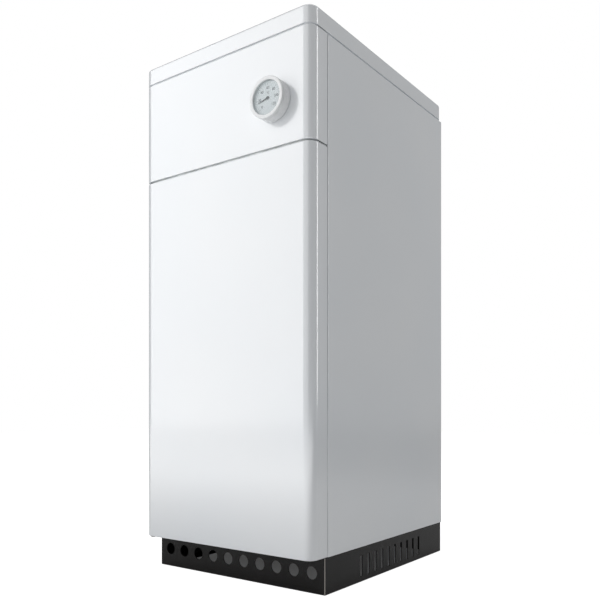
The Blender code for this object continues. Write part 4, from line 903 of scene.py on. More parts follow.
def make_sides():
    """Side sheets with rolled folds at the front, rear and top edges."""
    for name, node, side in (("side_pressing_left", "side_panel_left", -1),
                             ("side_pressing_right", "side_panel_right", 1)):
        low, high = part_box(node)
        outer_x, inner_x = (low.x, high.x) if side < 0 else (high.x, low.x)

        def plan(inset):
            front, back = low.y + inset, high.y - inset
            roll = max(fold_radius - inset, casing_sheet / 4)
            edge = outer_x - side * inset
            corner_x = edge - side * roll
            inside_x = inner_x - side * overrun if inset else inner_x
            points = [(inside_x, front)]
            for turn in quarter_turns():
                points.append((corner_x + side * roll * math.sin(turn), front + roll * (1 - math.cos(turn))))
            for turn in quarter_turns():
                points.append((corner_x + side * roll * math.cos(turn), back - roll * (1 - math.sin(turn))))
            points.append((inside_x, back))
            return points

        rings = [[(x, y, low.z) for x, y in plan(0)]]
        for turn in quarter_turns()[::-1]:
            drawn = fold_radius * (1 - math.sin(turn))
            level = high.z - fold_radius * (1 - math.cos(turn))
            left, right = (low.x + drawn, high.x) if side < 0 else (low.x, high.x - drawn)
            rings.append([(max(min(x, right), left), min(max(y, low.y + drawn), high.y - drawn), level)
                          for x, y in plan(0)])
        panel = loft(name, rings)
        hollow = loft(name + " hollow", [[(x, y, level) for x, y in plan(casing_sheet)]
                                         for level in (low.z - overrun, high.z - casing_sheet)])
        cut(panel, hollow)
        soften(panel, cut_edge)
        dress(panel, white_paint, "casing", "white_enamel", node)


def lid_outline(inset):
    """Plan of the lid, drawn in by an inset: larger corners in front than behind."""
    low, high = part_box("top_lid")
    points = []
    corners = ((-1, 0, front_corner_radius, 180), (1, 0, front_corner_radius, 270))
    corners += ((1, 1, lid_rear_corner_radius, 0), (-1, 1, lid_rear_corner_radius, 90))
    for side, rear, radius, start in corners:
        middle_x = side * (high.x - radius)
        middle_y = high.y - radius if rear else low.y + radius
        points += arc((middle_x, middle_y), radius - inset, start, start + 90, corner_steps)
    return points


def make_lid():
    """Pressed lid with a rolled top edge, a turned in lip and a rolled rim round the flue hole."""
    low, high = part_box("top_lid")
    collar_low, collar_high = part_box("flue_collar")
    flue_y = (collar_low.y + collar_high.y) / 2
    skirt_bottom = high.z - lid_skirt
    radius = lid_edge_radius
    inner_radius = radius - casing_sheet
    inner_top = high.z - casing_sheet
    lip = lid_lip_inset + casing_sheet
    skirt_roll = casing_sheet / 2
    turns = quarter_turns(lid_edge_steps)
    levels = []
    for turn in reversed(turns):
        inset = casing_sheet + inner_radius * (1 - math.cos(turn))
        levels.append((inset, inner_top - inner_radius * (1 - math.sin(turn))))
    levels += [(casing_sheet, skirt_bottom + casing_sheet), (lip, skirt_bottom + casing_sheet), (lip, low.z),
               (lid_lip_inset, low.z), (lid_lip_inset, skirt_bottom), (casing_sheet, skirt_bottom)]
    for turn in turns[::lid_skirt_roll_stride]:
        levels.append((skirt_roll * (1 - math.sin(turn)), skirt_bottom + skirt_roll * (1 - math.cos(turn))))
    for turn in turns:
        levels.append((radius * (1 - math.cos(turn)), high.z - radius * (1 - math.sin(turn))))
    rings = [[(x, y, level) for x, y in lid_outline(inset)] for inset, level in levels]
    lid = loft("lid_pressing", rings)
    hole_radius = flue_radius() + flue_hole_gap
    cut(lid, rod("flue hole", (0, flue_y), hole_radius, inner_top - overrun, high.z + overrun, "Z",
                 fine_sides))
    soften(lid, cut_edge)
    dress(lid, white_paint, "lid", "white_enamel", "top_lid")
    roll = flue_hole_roll
    profile = [(hole_radius + roll * (1 + math.cos(turn)), high.z + roll * math.sin(turn))
               for turn in [math.pi * step / fold_steps for step in range(fold_steps + 1)]]
    profile += [(hole_radius - clearance, inner_top - clearance), (hole_radius + roll, inner_top - clearance)]
    rim = turned("flue_hole_rim", (0, flue_y), profile, "Z", closed=True)
    shade(rim)
    dress(rim, white_paint, "lid", "white_enamel")


def flue_radius():
    """Outer radius of the flue collar's tube, inside its flange."""
    low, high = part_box("flue_collar")
    return (high.x - low.x) / 2 - flue_flange_width


def make_flue_collar():
    """Spun flue collar: a flange, a tube and a raised bead round it that stops the flue pipe."""
    low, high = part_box("flue_collar")
    centre = (0, (low.y + high.y) / 2)
    radius = flue_radius() - flue_bead_height
    flange = flue_radius() + flue_flange_width
    bead_z = high.z - flue_bead_drop
    outer = [(flange, low.z), (flange, low.z + frame_sheet), (radius + frame_sheet, low.z + frame_sheet)]
    for step in range(flue_bead_steps + 1):
        turn = math.pi * step / flue_bead_steps - math.pi / 2
        outer.append((radius + flue_bead_height * math.cos(turn),
                      bead_z + flue_bead_height * flue_bead_length_share * math.sin(turn)))
    inside = radius - flue_wall
    profile = outer + [(radius, high.z), (inside, high.z), (inside, low.z)]
    collar = turned("flue_collar_spinning", centre, profile, "Z", closed=True)
    soften(collar, cut_edge)
    dress(collar, zinc, "casing", "zinc_plate", "flue_collar")


def make_plinth():
    """Black base frame with crisp air holes in front, slots in its sides and folds at top and bottom."""
    low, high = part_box("plinth")
    low.y = plinth_front()

    def plan(inset):
        roll = max(fold_radius - inset, casing_sheet / 4)
        points = []
        for side_x, side_y, start in ((-1, -1, 180), (1, -1, 270), (1, 1, 0), (-1, 1, 90)):
            middle_x = (high.x - inset - roll) * side_x
            middle_y = high.y - inset - roll if side_y > 0 else low.y + inset + roll
            points += arc((middle_x, middle_y), roll, start, start + 90, fold_steps)
        return points

    sheet = frame_sheet
    frame_box = rounded_slab("plinth_frame", plan, low.z, high.z, fold_radius)
    hollow = box("plinth hollow", (low.x + sheet, low.y + sheet, low.z + sheet),
                 (high.x - sheet, high.y - sheet, high.z - sheet))
    window = box("plinth window", (low.x + plinth_fold, low.y + plinth_fold, low.z - overrun),
                 (high.x - plinth_fold, high.y - plinth_fold, high.z + overrun))
    cut(frame_box, hollow, window)
    first_hole = low.x + air_hole_end_margin
    hole_pitch = -first_hole * 2 / (air_hole_count - 1)
    punch = rod("hole punch", (0, 0), air_hole_radius, -overrun, overrun, "Y", round_sides)
    run_tree(punch, in_a_row, {"Count": air_hole_count, "Start": (first_hole, low.y, air_hole_z),
                               "Step": (hole_pitch, 0, 0), "Material": black_paint})
    first_slot = (low.y + high.y) / 2 + air_slot_row_offset - air_slot_pitch * (air_slot_count - 1) / 2
    slot_low = (low.x - overrun, -air_slot_width / 2, -air_slot_length / 2)
    slot_high = (high.x + overrun, air_slot_width / 2, air_slot_length / 2)
    slots = box("slot punch", slot_low, slot_high)
    run_tree(slots, in_a_row, {"Count": air_slot_count, "Start": (0, first_slot, air_slot_z),
                               "Step": (0, air_slot_pitch, 0), "Material": black_paint})
    cut(frame_box, punch, slots)
    pivot = hinge_place()
    outline = arc(pivot, hinge_tongue_half_width, 180, 360, corner_steps)
    outline.append((pivot[0] + hinge_tongue_half_width, low.y + plinth_fold / 2))
    outline.append((pivot[0] - hinge_tongue_half_width, low.y + plinth_fold / 2))
    tongue = loft("hinge tongue", [[(x, y, level) for x, y in outline] for level in (high.z - sheet, high.z)])
    join(frame_box, tongue)
    cut(frame_box, rod("tongue hole", pivot, hinge_pin_hole_radius, high.z - overrun, high.z + overrun, "Z"))
    soften(frame_box, cut_edge)
    dress(frame_box, black_paint, "casing", "black_enamel", "plinth")


# Thermometer


def make_gauge():
    """White dial thermometer: bezel, case, glass, dial with a printed scale, and needle."""
    bezel_low, bezel_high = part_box("gauge_bezel")
    glass_low, glass_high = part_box("gauge_glass")
    middle = (bezel_low + bezel_high) / 2
    centre = (middle.x, middle.z)
    radius = (bezel_high.x - bezel_low.x) / 2
    glass_radius = (glass_high.x - glass_low.x) / 2
    make_bezel(centre, radius, glass_radius)
    make_gauge_case(centre, radius, glass_radius)
    make_lens(centre, glass_radius)
    make_dial(centre)
    make_scale(centre)
    make_needle(centre)


def make_bezel(centre, radius, glass_radius):
    """Moulded ring: rolled front and back edges, a softened mouth and a step for the glass."""
    low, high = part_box("gauge_bezel")
    glass_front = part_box("gauge_glass")[0].y - clearance
    mouth = radius - bezel_mouth_inset
    seat = glass_radius + clearance
    profile = rolled_edge(radius, high.y, bezel_back_edge, -1)
    profile += rolled_edge(radius, low.y, bezel_edge)[::-1]
    profile += [(mouth + drawn, low.y + rise) for drawn, rise in roll_steps(case_edge)]
    profile += [(mouth, glass_front), (seat, glass_front), (seat, high.y)]
    bezel = turned("gauge_ring", centre, profile, "Y", closed=True)
    shade(bezel)
    dress(bezel, white_moulding, "casing", "white_plastic", "gauge_bezel")


def make_gauge_case(centre, radius, glass_radius):
    """Case behind the bezel, with a pocket for the dial and a neck through the control panel."""
    low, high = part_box("gauge_case")
    seat_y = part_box("door")[0].y - clearance
    pocket = glass_radius + clearance
    neck = glass_radius - clearance
    profile = [(pocket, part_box("gauge_dial")[1].y + clearance), (pocket, low.y)]
    profile += rolled_edge(radius, low.y, case_front_edge)
    profile += [(radius, seat_y - case_edge), (radius - case_edge, seat_y), (neck, seat_y), (neck, high.y)]
    case = turned("gauge_body", centre, profile, "Y")
    shade(case)
    dress(case, white_moulding, "casing", "white_plastic", "gauge_case")


def make_lens(centre, radius):
    """Flat glass with ground edges."""
    low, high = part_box("gauge_glass")
    ground = clearance
    profile = [(radius - ground, low.y), (radius, low.y + ground), (radius, high.y - ground),
               (radius - ground, high.y)]
    lens = turned("gauge_lens", centre, profile, "Y")
    shade(lens)
    dress(lens, glass, "casing", "clear_glass", "gauge_glass")


def make_dial(centre):
    """Flat dial plate with a hole for the needle's spindle."""
    low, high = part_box("gauge_dial")
    radius = (high.x - low.x) / 2
    hole = needle_hub_radius / 2
    profile = [(hole, low.y), (radius, low.y), (radius, high.y), (hole, high.y)]
    dial = turned("dial_plate", centre, profile, "Y", closed=True)
    shade(dial)
    dress(dial, dial_white, "casing", "white_plastic", "gauge_dial")


def make_scale(centre):
    """Printed scale: ticks round the edge, a number at each twenty degrees and the unit."""
    dial_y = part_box("gauge_dial")[0].y
    number_count = dial_top // dial_number_step + 1
    tick_count = (number_count - 1) * dial_ticks_per_step + 1
    first, last = (math.radians(angle) for angle in dial_degrees)
    half = dial_tick_width / 2
    for name, count, length, width in (("dial_fine_ticks", tick_count, dial_tick_length, 1),
                                       ("dial_main_ticks", number_count,
                                        dial_tick_length * main_tick_length_share, main_tick_width_share)):
        tick = box(name, (-length, -print_thickness, -half * width), (0, 0, half * width))
        run_tree(tick, in_a_ring, {"Count": count, "Centre": (centre[0], dial_y, centre[1]),
                                   "Radius": dial_tick_radius + dial_tick_length / 2, "First": first,
                                   "Step": (last - first) / (count - 1), "Material": tick_ink})
        dress(tick, tick_ink, "casing", "white_plastic")
    for index in range(number_count):
        angle = first + (last - first) * index / (number_count - 1)
        write(f"dial_number_{index + 1}", str(index * dial_number_step), dial_number_size,
              round_point(centre, dial_number_radius, angle), dial_y, dial_ink, "white_plastic")
    write("dial_unit", "°C", dial_unit_size, (centre[0], centre[1] + dial_unit_rise), dial_y, dial_ink,
          "white_plastic")


def write(name, words, size, spot, face_y, ink, slot):
    """A printed word whose middle is at a spot of a face that looks to -Y."""
    letters = bpy.data.curves.new(name, "FONT")
    letters.body = words
    letters.size = size
    letters.align_x = "CENTER"
    letters.align_y = "CENTER"
    letters.offset = size * print_weight_share
    letters.extrude = print_thickness / 2
    letters.resolution_u = print_curve_steps
    thing = put_in_scene(name, letters)
    mesh = plain_mesh(thing)
    bpy.data.objects.remove(thing)
    for vertex in mesh.vertices:
        across, up, out = vertex.co
        vertex.co = (spot[0] + across, face_y - print_thickness / 2 - out, spot[1] + up)
    dress(put_in_scene(name, mesh), ink, "casing", slot)


def make_needle(centre):
    """Tapered black needle with a short tail, a chamfered hub and a spindle through the dial."""
    low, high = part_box("gauge_needle")
    dial_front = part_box("gauge_dial")[0].y
    back = dial_front - clearance * 2
    front = back - clearance * 2
    turn = math.radians(needle_degrees)
    along = Vector((math.cos(turn), math.sin(turn)))
    across = Vector((-along.y, along.x))
    half = needle_half_width
    tip = half * needle_tip_share
    tail = half * needle_tail_share
    shape = ((needle_length, tip), (0, half), (-needle_tail, tail), (-needle_tail, -tail), (0, -half),
             (needle_length, -tip))
    outline = [Vector(centre) + along * reach + across * wide for reach, wide in shape]
    blade = loft("gauge_pointer", [[(x, level, z) for x, z in outline] for level in (front, back)])
    profile = [(needle_hub_radius, back), (needle_hub_radius, front - clearance / 2),
               (needle_hub_radius * needle_hub_face_share, low.y)]
    hub = turned("pointer hub", centre, profile, "Y", small_sides)
    spindle = rod("pointer spindle", centre, needle_hub_radius / 3, back - clearance, high.y, "Y")
    join(blade, hub, spindle)
    shade(blade)
    dress(blade, needle_black, "needle", "black_plastic", "gauge_needle")


# Insulation


def blanket_plan(low, high, inset):
    """Plan of the blanket, drawn in by an inset, in even steps along its sides and round its corners."""
    radius = blanket_corner_radius
    points = []
    for side_x, side_y, start in ((-1, -1, 180), (1, -1, 270), (1, 1, 0), (-1, 1, 90)):
        middle_x = high.x - radius if side_x > 0 else low.x + radius
        middle_y = high.y - radius if side_y > 0 else low.y + radius
        turn = arc((middle_x, middle_y), radius - inset, start, start + 90, blanket_corner_steps)
        points += stepped(points[-1], turn[0], blanket_side_steps) if points else []
        points += turn
    return points + stepped(points[-1], points[0], blanket_side_steps)


def stepped(start, end, steps):
    """The points between two others, in even steps."""
    return [tuple(a + (b - a) * step / steps for a, b in zip(start, end)) for step in range(1, steps)]


def make_insulation():
    """Foil faced wool blanket: rounded edges, soft dents, and three laps where the foil is drawn in."""
    low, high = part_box("insulation_jacket")
    radius = blanket_edge_radius
    path = [(drawn, low.z + rise) for drawn, rise in roll_steps(radius)]
    path += stepped((0, low.z + radius), (0, high.z - radius), blanket_level_steps)
    path += [(drawn, high.z - rise) for drawn, rise in roll_steps(radius)[::-1]]
    back, edge = blanket_thickness, blanket_inner_edge
    path += [(back - edge, high.z), (back, high.z - edge), (back, low.z + edge), (back - edge, low.z)]
    laps = [low.z + (high.z - low.z) * share for share in blanket_lap_shares]
    outer_plan = blanket_plan(low, high, 0)
    drawn_plan = blanket_plan(low, high, radius)
    rings = []
    for inset, level in path:
        if inset > radius:
            rings.append([(x, y, level) for x, y in blanket_plan(low, high, inset)])
            continue
        lap = max(math.exp(-((level - place) / blanket_lap_width) ** 2) for place in laps)
        ring = []
        for outer, inner in zip(outer_plan, drawn_plan):
            spot = Vector((outer[0], outer[1], level)) / blanket_dent_size
            dent = blanket_dent * (0.5 + 0.5 * noise.noise(spot))
            share = (inset + (lap * blanket_lap_depth + dent) * (1 - inset / radius)) / radius
            ring.append((outer[0] + (inner[0] - outer[0]) * share, outer[1] + (inner[1] - outer[1]) * share,
                         level))
        rings.append(ring)
    blanket = loft("insulation_blanket", rings, closed=True)
    holes = []
    for node in ("supply_pipe", "return_pipe"):
        pipe_low, pipe_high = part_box(node)
        middle = (pipe_low + pipe_high) / 2
        holes.append(rod(node + " room", (middle.x, middle.z), water_pipe_radius + clearance,
                         high.y - blanket_thickness - overrun, high.y + overrun, "Y", round_sides))
    pocket_low, pocket_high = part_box("sensor_pocket")
    middle = (pocket_low + pocket_high) / 2
    holes.append(rod("pocket room", (middle.x, middle.z), (pocket_high.x - pocket_low.x) / 2 + clearance,
                     low.y - overrun, low.y + blanket_thickness + overrun, "Y", round_sides))
    cut(blanket, *holes)
    shade(blanket, fine_smooth_degrees)
    dress(blanket, foil, "casing", "foil_wool", "insulation_jacket")


# Pipes


def groove(distance, turn, pitch, length):
    """Depth of a pipe thread at a distance from the pipe's end and a share of a turn round it."""
    phase = (distance / pitch - turn) % 1
    tooth = min(max(thread_flank * abs(2 * phase - 1) - thread_flat, 0), 1)
    fade = min(max((length - distance) / pitch, 0), 1)
    return pitch * thread_depth_share * (tooth * fade + max(thread_lead_in - distance / pitch, 0))


def threaded_pipe(name, node, route, level, radius, wall, pitch, length, material, slot):
    """A level pipe along a route of plan points from its open end, with a pipe thread cut round that end."""
    start, after = Vector(route[0]), Vector(route[1])
    reach = (after - start).length
    steps = math.ceil(length / pitch * thread_steps)
    fine = [tuple(start + (after - start) * (length * step / steps / reach)) for step in range(steps + 1)]
    points = [Vector(point) for point in fine + list(route[1:])]
    outer, inner = [], []
    for index, point in enumerate(points):
        ahead = points[min(index + 1, len(points) - 1)] - points[max(index - 1, 0)]
        ahead.normalize()
        across = Vector((ahead.y, -ahead.x))
        distance = length * index / steps if index <= steps else length
        for ring, base in ((outer, radius), (inner, radius - wall)):
            loop = []
            for side in range(thread_sides):
                share = side / thread_sides
                cut_in = groove(distance, share, pitch, length) if ring is outer else 0
                wide = (base - cut_in) * math.cos(2 * math.pi * share)
                high = (base - cut_in) * math.sin(2 * math.pi * share)
                loop.append((point.x + across.x * wide, point.y + across.y * wide, level + high))
            ring.append(loop)
    pipe = loft(name, outer + inner[::-1], closed=True)
    shade(pipe, fine_smooth_degrees)
    dress(pipe, material, "casing", slot, node)


def make_pipes():
    """Supply, return and gas pipes, each with the outside thread that the plumber screws on to."""
    for name, node in (("supply_pipe_threaded", "supply_pipe"), ("return_pipe_threaded", "return_pipe")):
        low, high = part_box(node)
        middle = (low + high) / 2
        threaded_pipe(name, node, [(middle.x, high.y), (middle.x, low.y)], middle.z, water_pipe_radius,
                      water_pipe_wall, water_thread_pitch, water_thread_length, pipe_steel, "boiler_steel")
    low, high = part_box("gas_inlet_pipe")
    bend_middle = (gas_pipe_x + gas_pipe_bend, low.y + gas_pipe_radius + gas_pipe_bend)
    bend = arc(bend_middle, gas_pipe_bend, 180, 270, pipe_bend_steps)
    route = [(gas_pipe_x, high.y)] + bend + [(high.x, low.y + gas_pipe_radius)]
    threaded_pipe("gas_pipe_threaded", "gas_inlet_pipe", route, (low.z + high.z) / 2, gas_pipe_radius,
                  gas_pipe_wall, gas_thread_pitch, gas_thread_length, brass, "brass")


# Gas control


def make_gas_valve():
    """Cast gas control block with bosses, a screwed cover, a numbered scale, a tap and a regulator cap."""
    low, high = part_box("gas_valve")
    block_low = Vector((low.x + valve_boss_reach, low.y + valve_face_reach, low.z + valve_boss_reach))
    body = box("gas_valve_casting", block_low, high)
    round_block(body, valve_edge)
    middle_z = (block_low.z + high.z) / 2
    centre = ((block_low.x + high.x) / 2, middle_z)
    inlet = ((block_low.y + high.y) / 2, middle_z)
    pipe_low, pipe_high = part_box("valve_outlet_pipe")
    outlet = (valve_outlet_x, (pipe_low.y + pipe_high.y) / 2)
    join(body, chamfered("inlet boss", inlet, valve_boss_radius, low.x, block_low.x + overrun, "X"),
         chamfered("outlet boss", outlet, valve_boss_radius, low.z, block_low.z + overrun, "Z"),
         chamfered("face boss", centre, valve_face_radius, low.y, block_low.y + overrun, "Y"))
    cover_low = (block_low.x + cover_margin, block_low.y - cover_thickness, block_low.z + cover_margin)
    cover_high = (high.x - cover_margin, block_low.y + cover_thickness, high.z - cover_margin)
    cover = box("valve cover", cover_low, cover_high)
    soften(cover, boss_edge)
    join(body, cover)
    cut(body,
        rod("spindle bore", centre, spindle_bore_radius, low.y - overrun, low.y + spindle_bore_depth, "Y"),
        rod("inlet bore", inlet, gas_pipe_radius + clearance, low.x - overrun, low.x + valve_bore_depth, "X",
            round_sides),
        rod("outlet bore", outlet, outlet_bore_radius, low.z - overrun, low.z + valve_bore_depth, "Z",
            round_sides))
    shade(body, casting_smooth_degrees)
    dress(body, casting, "casing", "cast_aluminium", "gas_valve")
    face = block_low.y - cover_thickness
    edge = cover_margin + cover_screw_margin
    gap = high.x - block_low.x - edge * 2
    for row, level in (("low", block_low.z + edge), ("high", high.z - edge)):
        screw_row(f"valve_cover_screws_{row}", cover_screw_radius, cover_screw_height, "Y", -1, 2,
                  (block_low.x + edge, face, level), (gap, 0, 0))
    make_valve_fittings(centre, face)
    for index in range(knob_scale_turn // knob_scale_step + 1):
        angle = math.radians(knob_scale_start + knob_scale_step * index)
        write(f"valve_number_{index}", str(index), knob_scale_size,
              round_point(centre, knob_scale_radius, angle), face, needle_black, "cast_aluminium")


def make_valve_fittings(centre, face):
    """Slotted brass regulator cap and stepped brass pressure tap on the valve's cover."""
    radius, height = regulator_cap_radius, regulator_cap_height
    spot = (centre[0] + regulator_cap_offset[0], centre[1] + regulator_cap_offset[1])
    cap = chamfered("regulator_cap", spot, radius, face - height, face - clearance, "Y")
    slot = box("cap slot", (spot[0] - radius, face - height - overrun, spot[1] - boss_edge),
               (spot[0] + radius, face - height / 2, spot[1] + boss_edge))
    cut(cap, slot)
    soften(cap, cut_edge)
    dress(cap, brass, "casing", "brass")
    radius, height = pressure_tap_radius, pressure_tap_height
    spot = (centre[0] + pressure_tap_offset[0], centre[1] + pressure_tap_offset[1])
    base = rod("pressure_tap", spot, radius, face - height / 3, face - clearance, "Y", hexagon_sides)
    nipple = chamfered("tap nipple", spot, radius * pressure_tap_nipple_share, face - height,
                       face - clearance * 2, "Y", radius * pressure_tap_edge_share)
    join(base, nipple)
    shade(base)
    dress(base, brass, "casing", "brass")


def make_knob():
    """Bakelite knob with a fluted rim, a rounded grip bar and a white mark at the bar's upper end."""
    low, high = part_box("control_knob")
    centre = ((low.x + high.x) / 2, (low.z + high.z) / 2)
    radius = (high.x - low.x) / 2
    disc_y = low.y + knob_grip_height
    sides = knob_flutes * knob_flute_sides
    levels = rolled_edge(radius, disc_y, knob_edge) + [(radius, high.y)]
    rings = []
    for wide, level in levels:
        ring = []
        for side in range(sides):
            angle = 2 * math.pi * side / sides
            reach = wide - knob_flute_depth * (0.5 + 0.5 * math.cos(knob_flutes * angle))
            ring.append(place_point("Y", round_point(centre, reach, angle), level))
        rings.append(ring)
    knob = loft("knob_moulding", rings)
    grip = box("knob grip", (centre[0] - knob_grip_half_width, low.y, centre[1] - knob_grip_reach),
               (centre[0] + knob_grip_half_width, disc_y + knob_edge, centre[1] + knob_grip_reach))
    round_block(grip, knob_edge)
    mark_top = centre[1] + knob_grip_reach - knob_edge
    mark_low = (centre[0] - knob_mark_half_width, low.y - overrun, mark_top - knob_mark_length)
    mark_high = (centre[0] + knob_mark_half_width, low.y + knob_mark_sunk * 2, mark_top)
    join(knob, grip)
    cut(knob, box("mark room", mark_low, mark_high),
        rod("knob seat", centre, spindle_bore_radius, high.y - knob_seat_depth, high.y + overrun, "Y"))
    shade(knob, moulding_smooth_degrees)
    dress(knob, black_moulding, "knob", "black_plastic", "control_knob")
    mark = box("knob_mark", (mark_low[0], low.y + knob_mark_sunk, mark_low[2]), mark_high)
    dress(mark, mark_ink, "knob", "black_plastic")


def make_piezo():
    """Round igniter body with a groove behind its lip, and a push button with a hollowed face."""
    low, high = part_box("piezo_igniter")
    button_low, button_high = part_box("piezo_button")
    middle = (button_low + button_high) / 2
    centre = (middle.x, middle.z)
    radius = (high.x - low.x) / 2
    button_radius = (button_high.x - button_low.x) / 2
    bore = button_radius + clearance
    groove_y = low.y + piezo_ring_drop
    neck_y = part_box("valve_bracket")[0].y - clearance
    bore_end = button_high.y + button_travel + clearance
    neck = button_radius
    profile = [(bore, low.y), (radius - piezo_lip, low.y), (radius, low.y + piezo_lip), (radius, groove_y),
               (radius - piezo_ring_depth, groove_y + piezo_ring_depth),
               (radius, groove_y + piezo_ring_depth * 2), (radius, neck_y), (neck, neck_y), (neck, high.y),
               (clearance, high.y), (clearance, bore_end), (bore, bore_end)]
    body = turned("piezo_housing", centre, profile, "Y", round_sides, closed=True)
    shade(body)
    dress(body, black_moulding, "casing", "black_plastic", "piezo_igniter")
    profile = [(button_radius * share, button_low.y + button_hollow * (1 - share * share))
               for share in button_hollow_shares]
    profile += rolled_edge(button_radius, button_low.y, button_edge) + [(button_radius, button_high.y)]
    button = turned("piezo_push_button", centre, profile, "Y", round_sides)
    shade(button)
    dress(button, black_moulding, "piezo_button", "black_plastic", "piezo_button")


# Screws


def screw_head(name, radius, height, along, side):
    """A domed head with a cross recess, at the origin, that stands out to one side along an axis."""
    profile = [(radius, 0)]
    for step in range(screw_dome_steps + 1):
        turn = screw_dome_turn * step / screw_dome_steps
        rise = screw_rim_share + (1 - screw_rim_share) * math.sin(turn)
        profile.append((radius * math.cos(turn), side * height * rise))
    head = turned(name, (0, 0), profile, along, small_sides)
    reach = radius * screw_cross_reach
    for wide, tall in ((reach, screw_cross / 2), (screw_cross / 2, reach)):
        first = place_point(along, (-wide, -tall), side * height * screw_cross_floor)
        last = place_point(along, (wide, tall), side * height * 2)
        pairs = list(zip(first, last))
        cut(head, box("recess", [min(pair) for pair in pairs], [max(pair) for pair in pairs]))
    return head


def screw_row(name, radius, height, along, side, count, start, step):
    """A row of domed steel screws from a start, each one step after the last."""
    heads = screw_head(name, radius, height, along, side)
    run_tree(heads, in_a_row, {"Count": count, "Start": start, "Step": step, "Material": steel})
    shade(heads)
    dress(heads, steel, "casing", "stainless_steel")


def make_screws():
    """Screws in the rear folds and the cleaning cover, and hexagon ones in the burner plate."""
    low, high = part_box("side_panel_right")
    step = (high.z - low.z - fold_screw_margin * 2) / (fold_screw_count - 1)
    for name, side in (("rear_screws_left", -1), ("rear_screws_right", 1)):
        start = (side * (high.x - fold_screw_from_side), high.y, low.z + fold_screw_margin)
        screw_row(name, screw_radius, screw_height, "Y", 1, fold_screw_count, start, (0, 0, step))
    low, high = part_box("cleaning_cover")
    gap = high.y - low.y - cleaning_screw_margin * 2
    for name, side in (("cover_screws_left", -1), ("cover_screws_right", 1)):
        start = (side * (high.x - cleaning_screw_margin), low.y + cleaning_screw_margin, high.z)
        screw_row(name, cleaning_screw_radius, screw_height, "Z", 1, 2, start, (0, gap, 0))
    for index in range(burner_plate_screw_count):
        node = f"burner_plate_screw_{index + 1}"
        low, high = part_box(node)
        centre = ((low.x + high.x) / 2, (low.z + high.z) / 2)
        seat = low.y + hex_head
        profile = [(hex_screw_radius * hex_face_share, low.y), (hex_screw_radius, low.y + hex_washer),
                   (hex_screw_radius, seat - hex_washer - clearance / 2)]
        head = turned(f"hexagon_screw_{index + 1}", centre, profile, "Y", hexagon_sides)
        washer = rod("washer", centre, hex_screw_radius, seat - hex_washer, seat, "Y")
        shank = rod("shank", centre, hex_shank_radius, low.y + hex_washer, high.y, "Y")
        join(head, washer, shank)
        soften(head, cut_edge)
        dress(head, zinc, "casing", "zinc_plate", node)


def make_shutter():
    """Pressed sight hole shutter: a disc on an arm, with its pivot pin behind it."""
    low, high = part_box("sight_shutter")
    pivot_z = high.z - shutter_arm_half_width
    middle_x = (low.x + high.x) / 2
    disc_z = low.z + shutter_radius
    back = low.y + casing_sheet
    blade = rod("shutter_blade", (middle_x, disc_z), shutter_radius, low.y, back, "Y", fine_sides)
    half = shutter_arm_half_width
    arm = box("shutter arm", (middle_x - half, low.y, disc_z), (middle_x + half, back, pivot_z))
    knuckle = rod("shutter knuckle", (middle_x, pivot_z), half, low.y, back, "Y")
    pin = rod("shutter pin", (middle_x, pivot_z), shutter_pin_radius, (low.y + back) / 2, high.y, "Y")
    join(blade, arm, knuckle, pin)
    soften(blade, cut_edge)
    dress(blade, steel, "shutter", "stainless_steel", "sight_shutter")


# Burner tubes and thin tubes


def make_burner_tubes():
    """Three atmospheric burner tubes: a round mouth, a narrow throat and an upright oval body with slots."""
    for index in range(burner_count):
        node = f"burner_tube_{index + 1}"
        low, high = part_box(node)
        middle = (low + high) / 2
        length = high.y - low.y
        body = ((high.x - low.x) / 2, (high.z - low.z) / 2)
        mouth = (burner_mouth_radius, burner_mouth_radius)
        throat = (burner_throat_radius, burner_throat_radius)
        outside = [(0, mouth), (burner_mouth_share, mouth)]
        outside += [(along, eased_size(mouth, throat, share))
                    for along, share in stages(burner_mouth_share, burner_throat_share)]
        outside += [(along, eased_size(throat, body, share))
                    for along, share in stages(burner_throat_share, burner_body_share)]
        outside.append((1, body))
        outer = [oval(middle, low.y + along * length, size, 0) for along, size in outside]
        inner = [oval(middle, low.y + along * length, size, burner_wall) for along, size in outside[:-1]]
        inner.append(oval(middle, high.y - burner_wall, body, burner_wall))
        tube = loft(f"burner_tube_pressing_{index + 1}", inner[::-1] + outer)
        first = low.y + burner_body_share * length
        pitch = (high.y - first) / (burner_slot_count + 1)
        half = burner_slot_width / 2
        slots = []
        for step in range(burner_slot_count):
            slot_y = first + pitch * (step + 1)
            slots.append(box(f"burner slot {step}",
                             (middle.x - burner_slot_half_length, slot_y - half, middle.z),
                             (middle.x + burner_slot_half_length, slot_y + half, high.z + overrun)))
        cut(tube, *slots)
        shade(tube)
        dress(tube, hot_steel, "casing", "stainless_steel", node)


def stages(start, end):
    """Places from start to end, each with how far the form has changed by then."""
    shares = [step / fold_steps for step in range(1, fold_steps + 1)]
    return [(start + (end - start) * share, share) for share in shares]


def eased_size(first, second, share):
    """A width and height on a smooth way from the first to the second."""
    eased = share * share * (3 - 2 * share)
    return tuple(one + (two - one) * eased for one, two in zip(first, second))


def oval(middle, y, size, inset):
    """Upright oval ring of a burner tube."""
    turns = [2 * math.pi * side / round_sides for side in range(round_sides)]
    return [(middle.x + (size[0] - inset) * math.cos(turn), y, middle.z + (size[1] - inset) * math.sin(turn))
            for turn in turns]


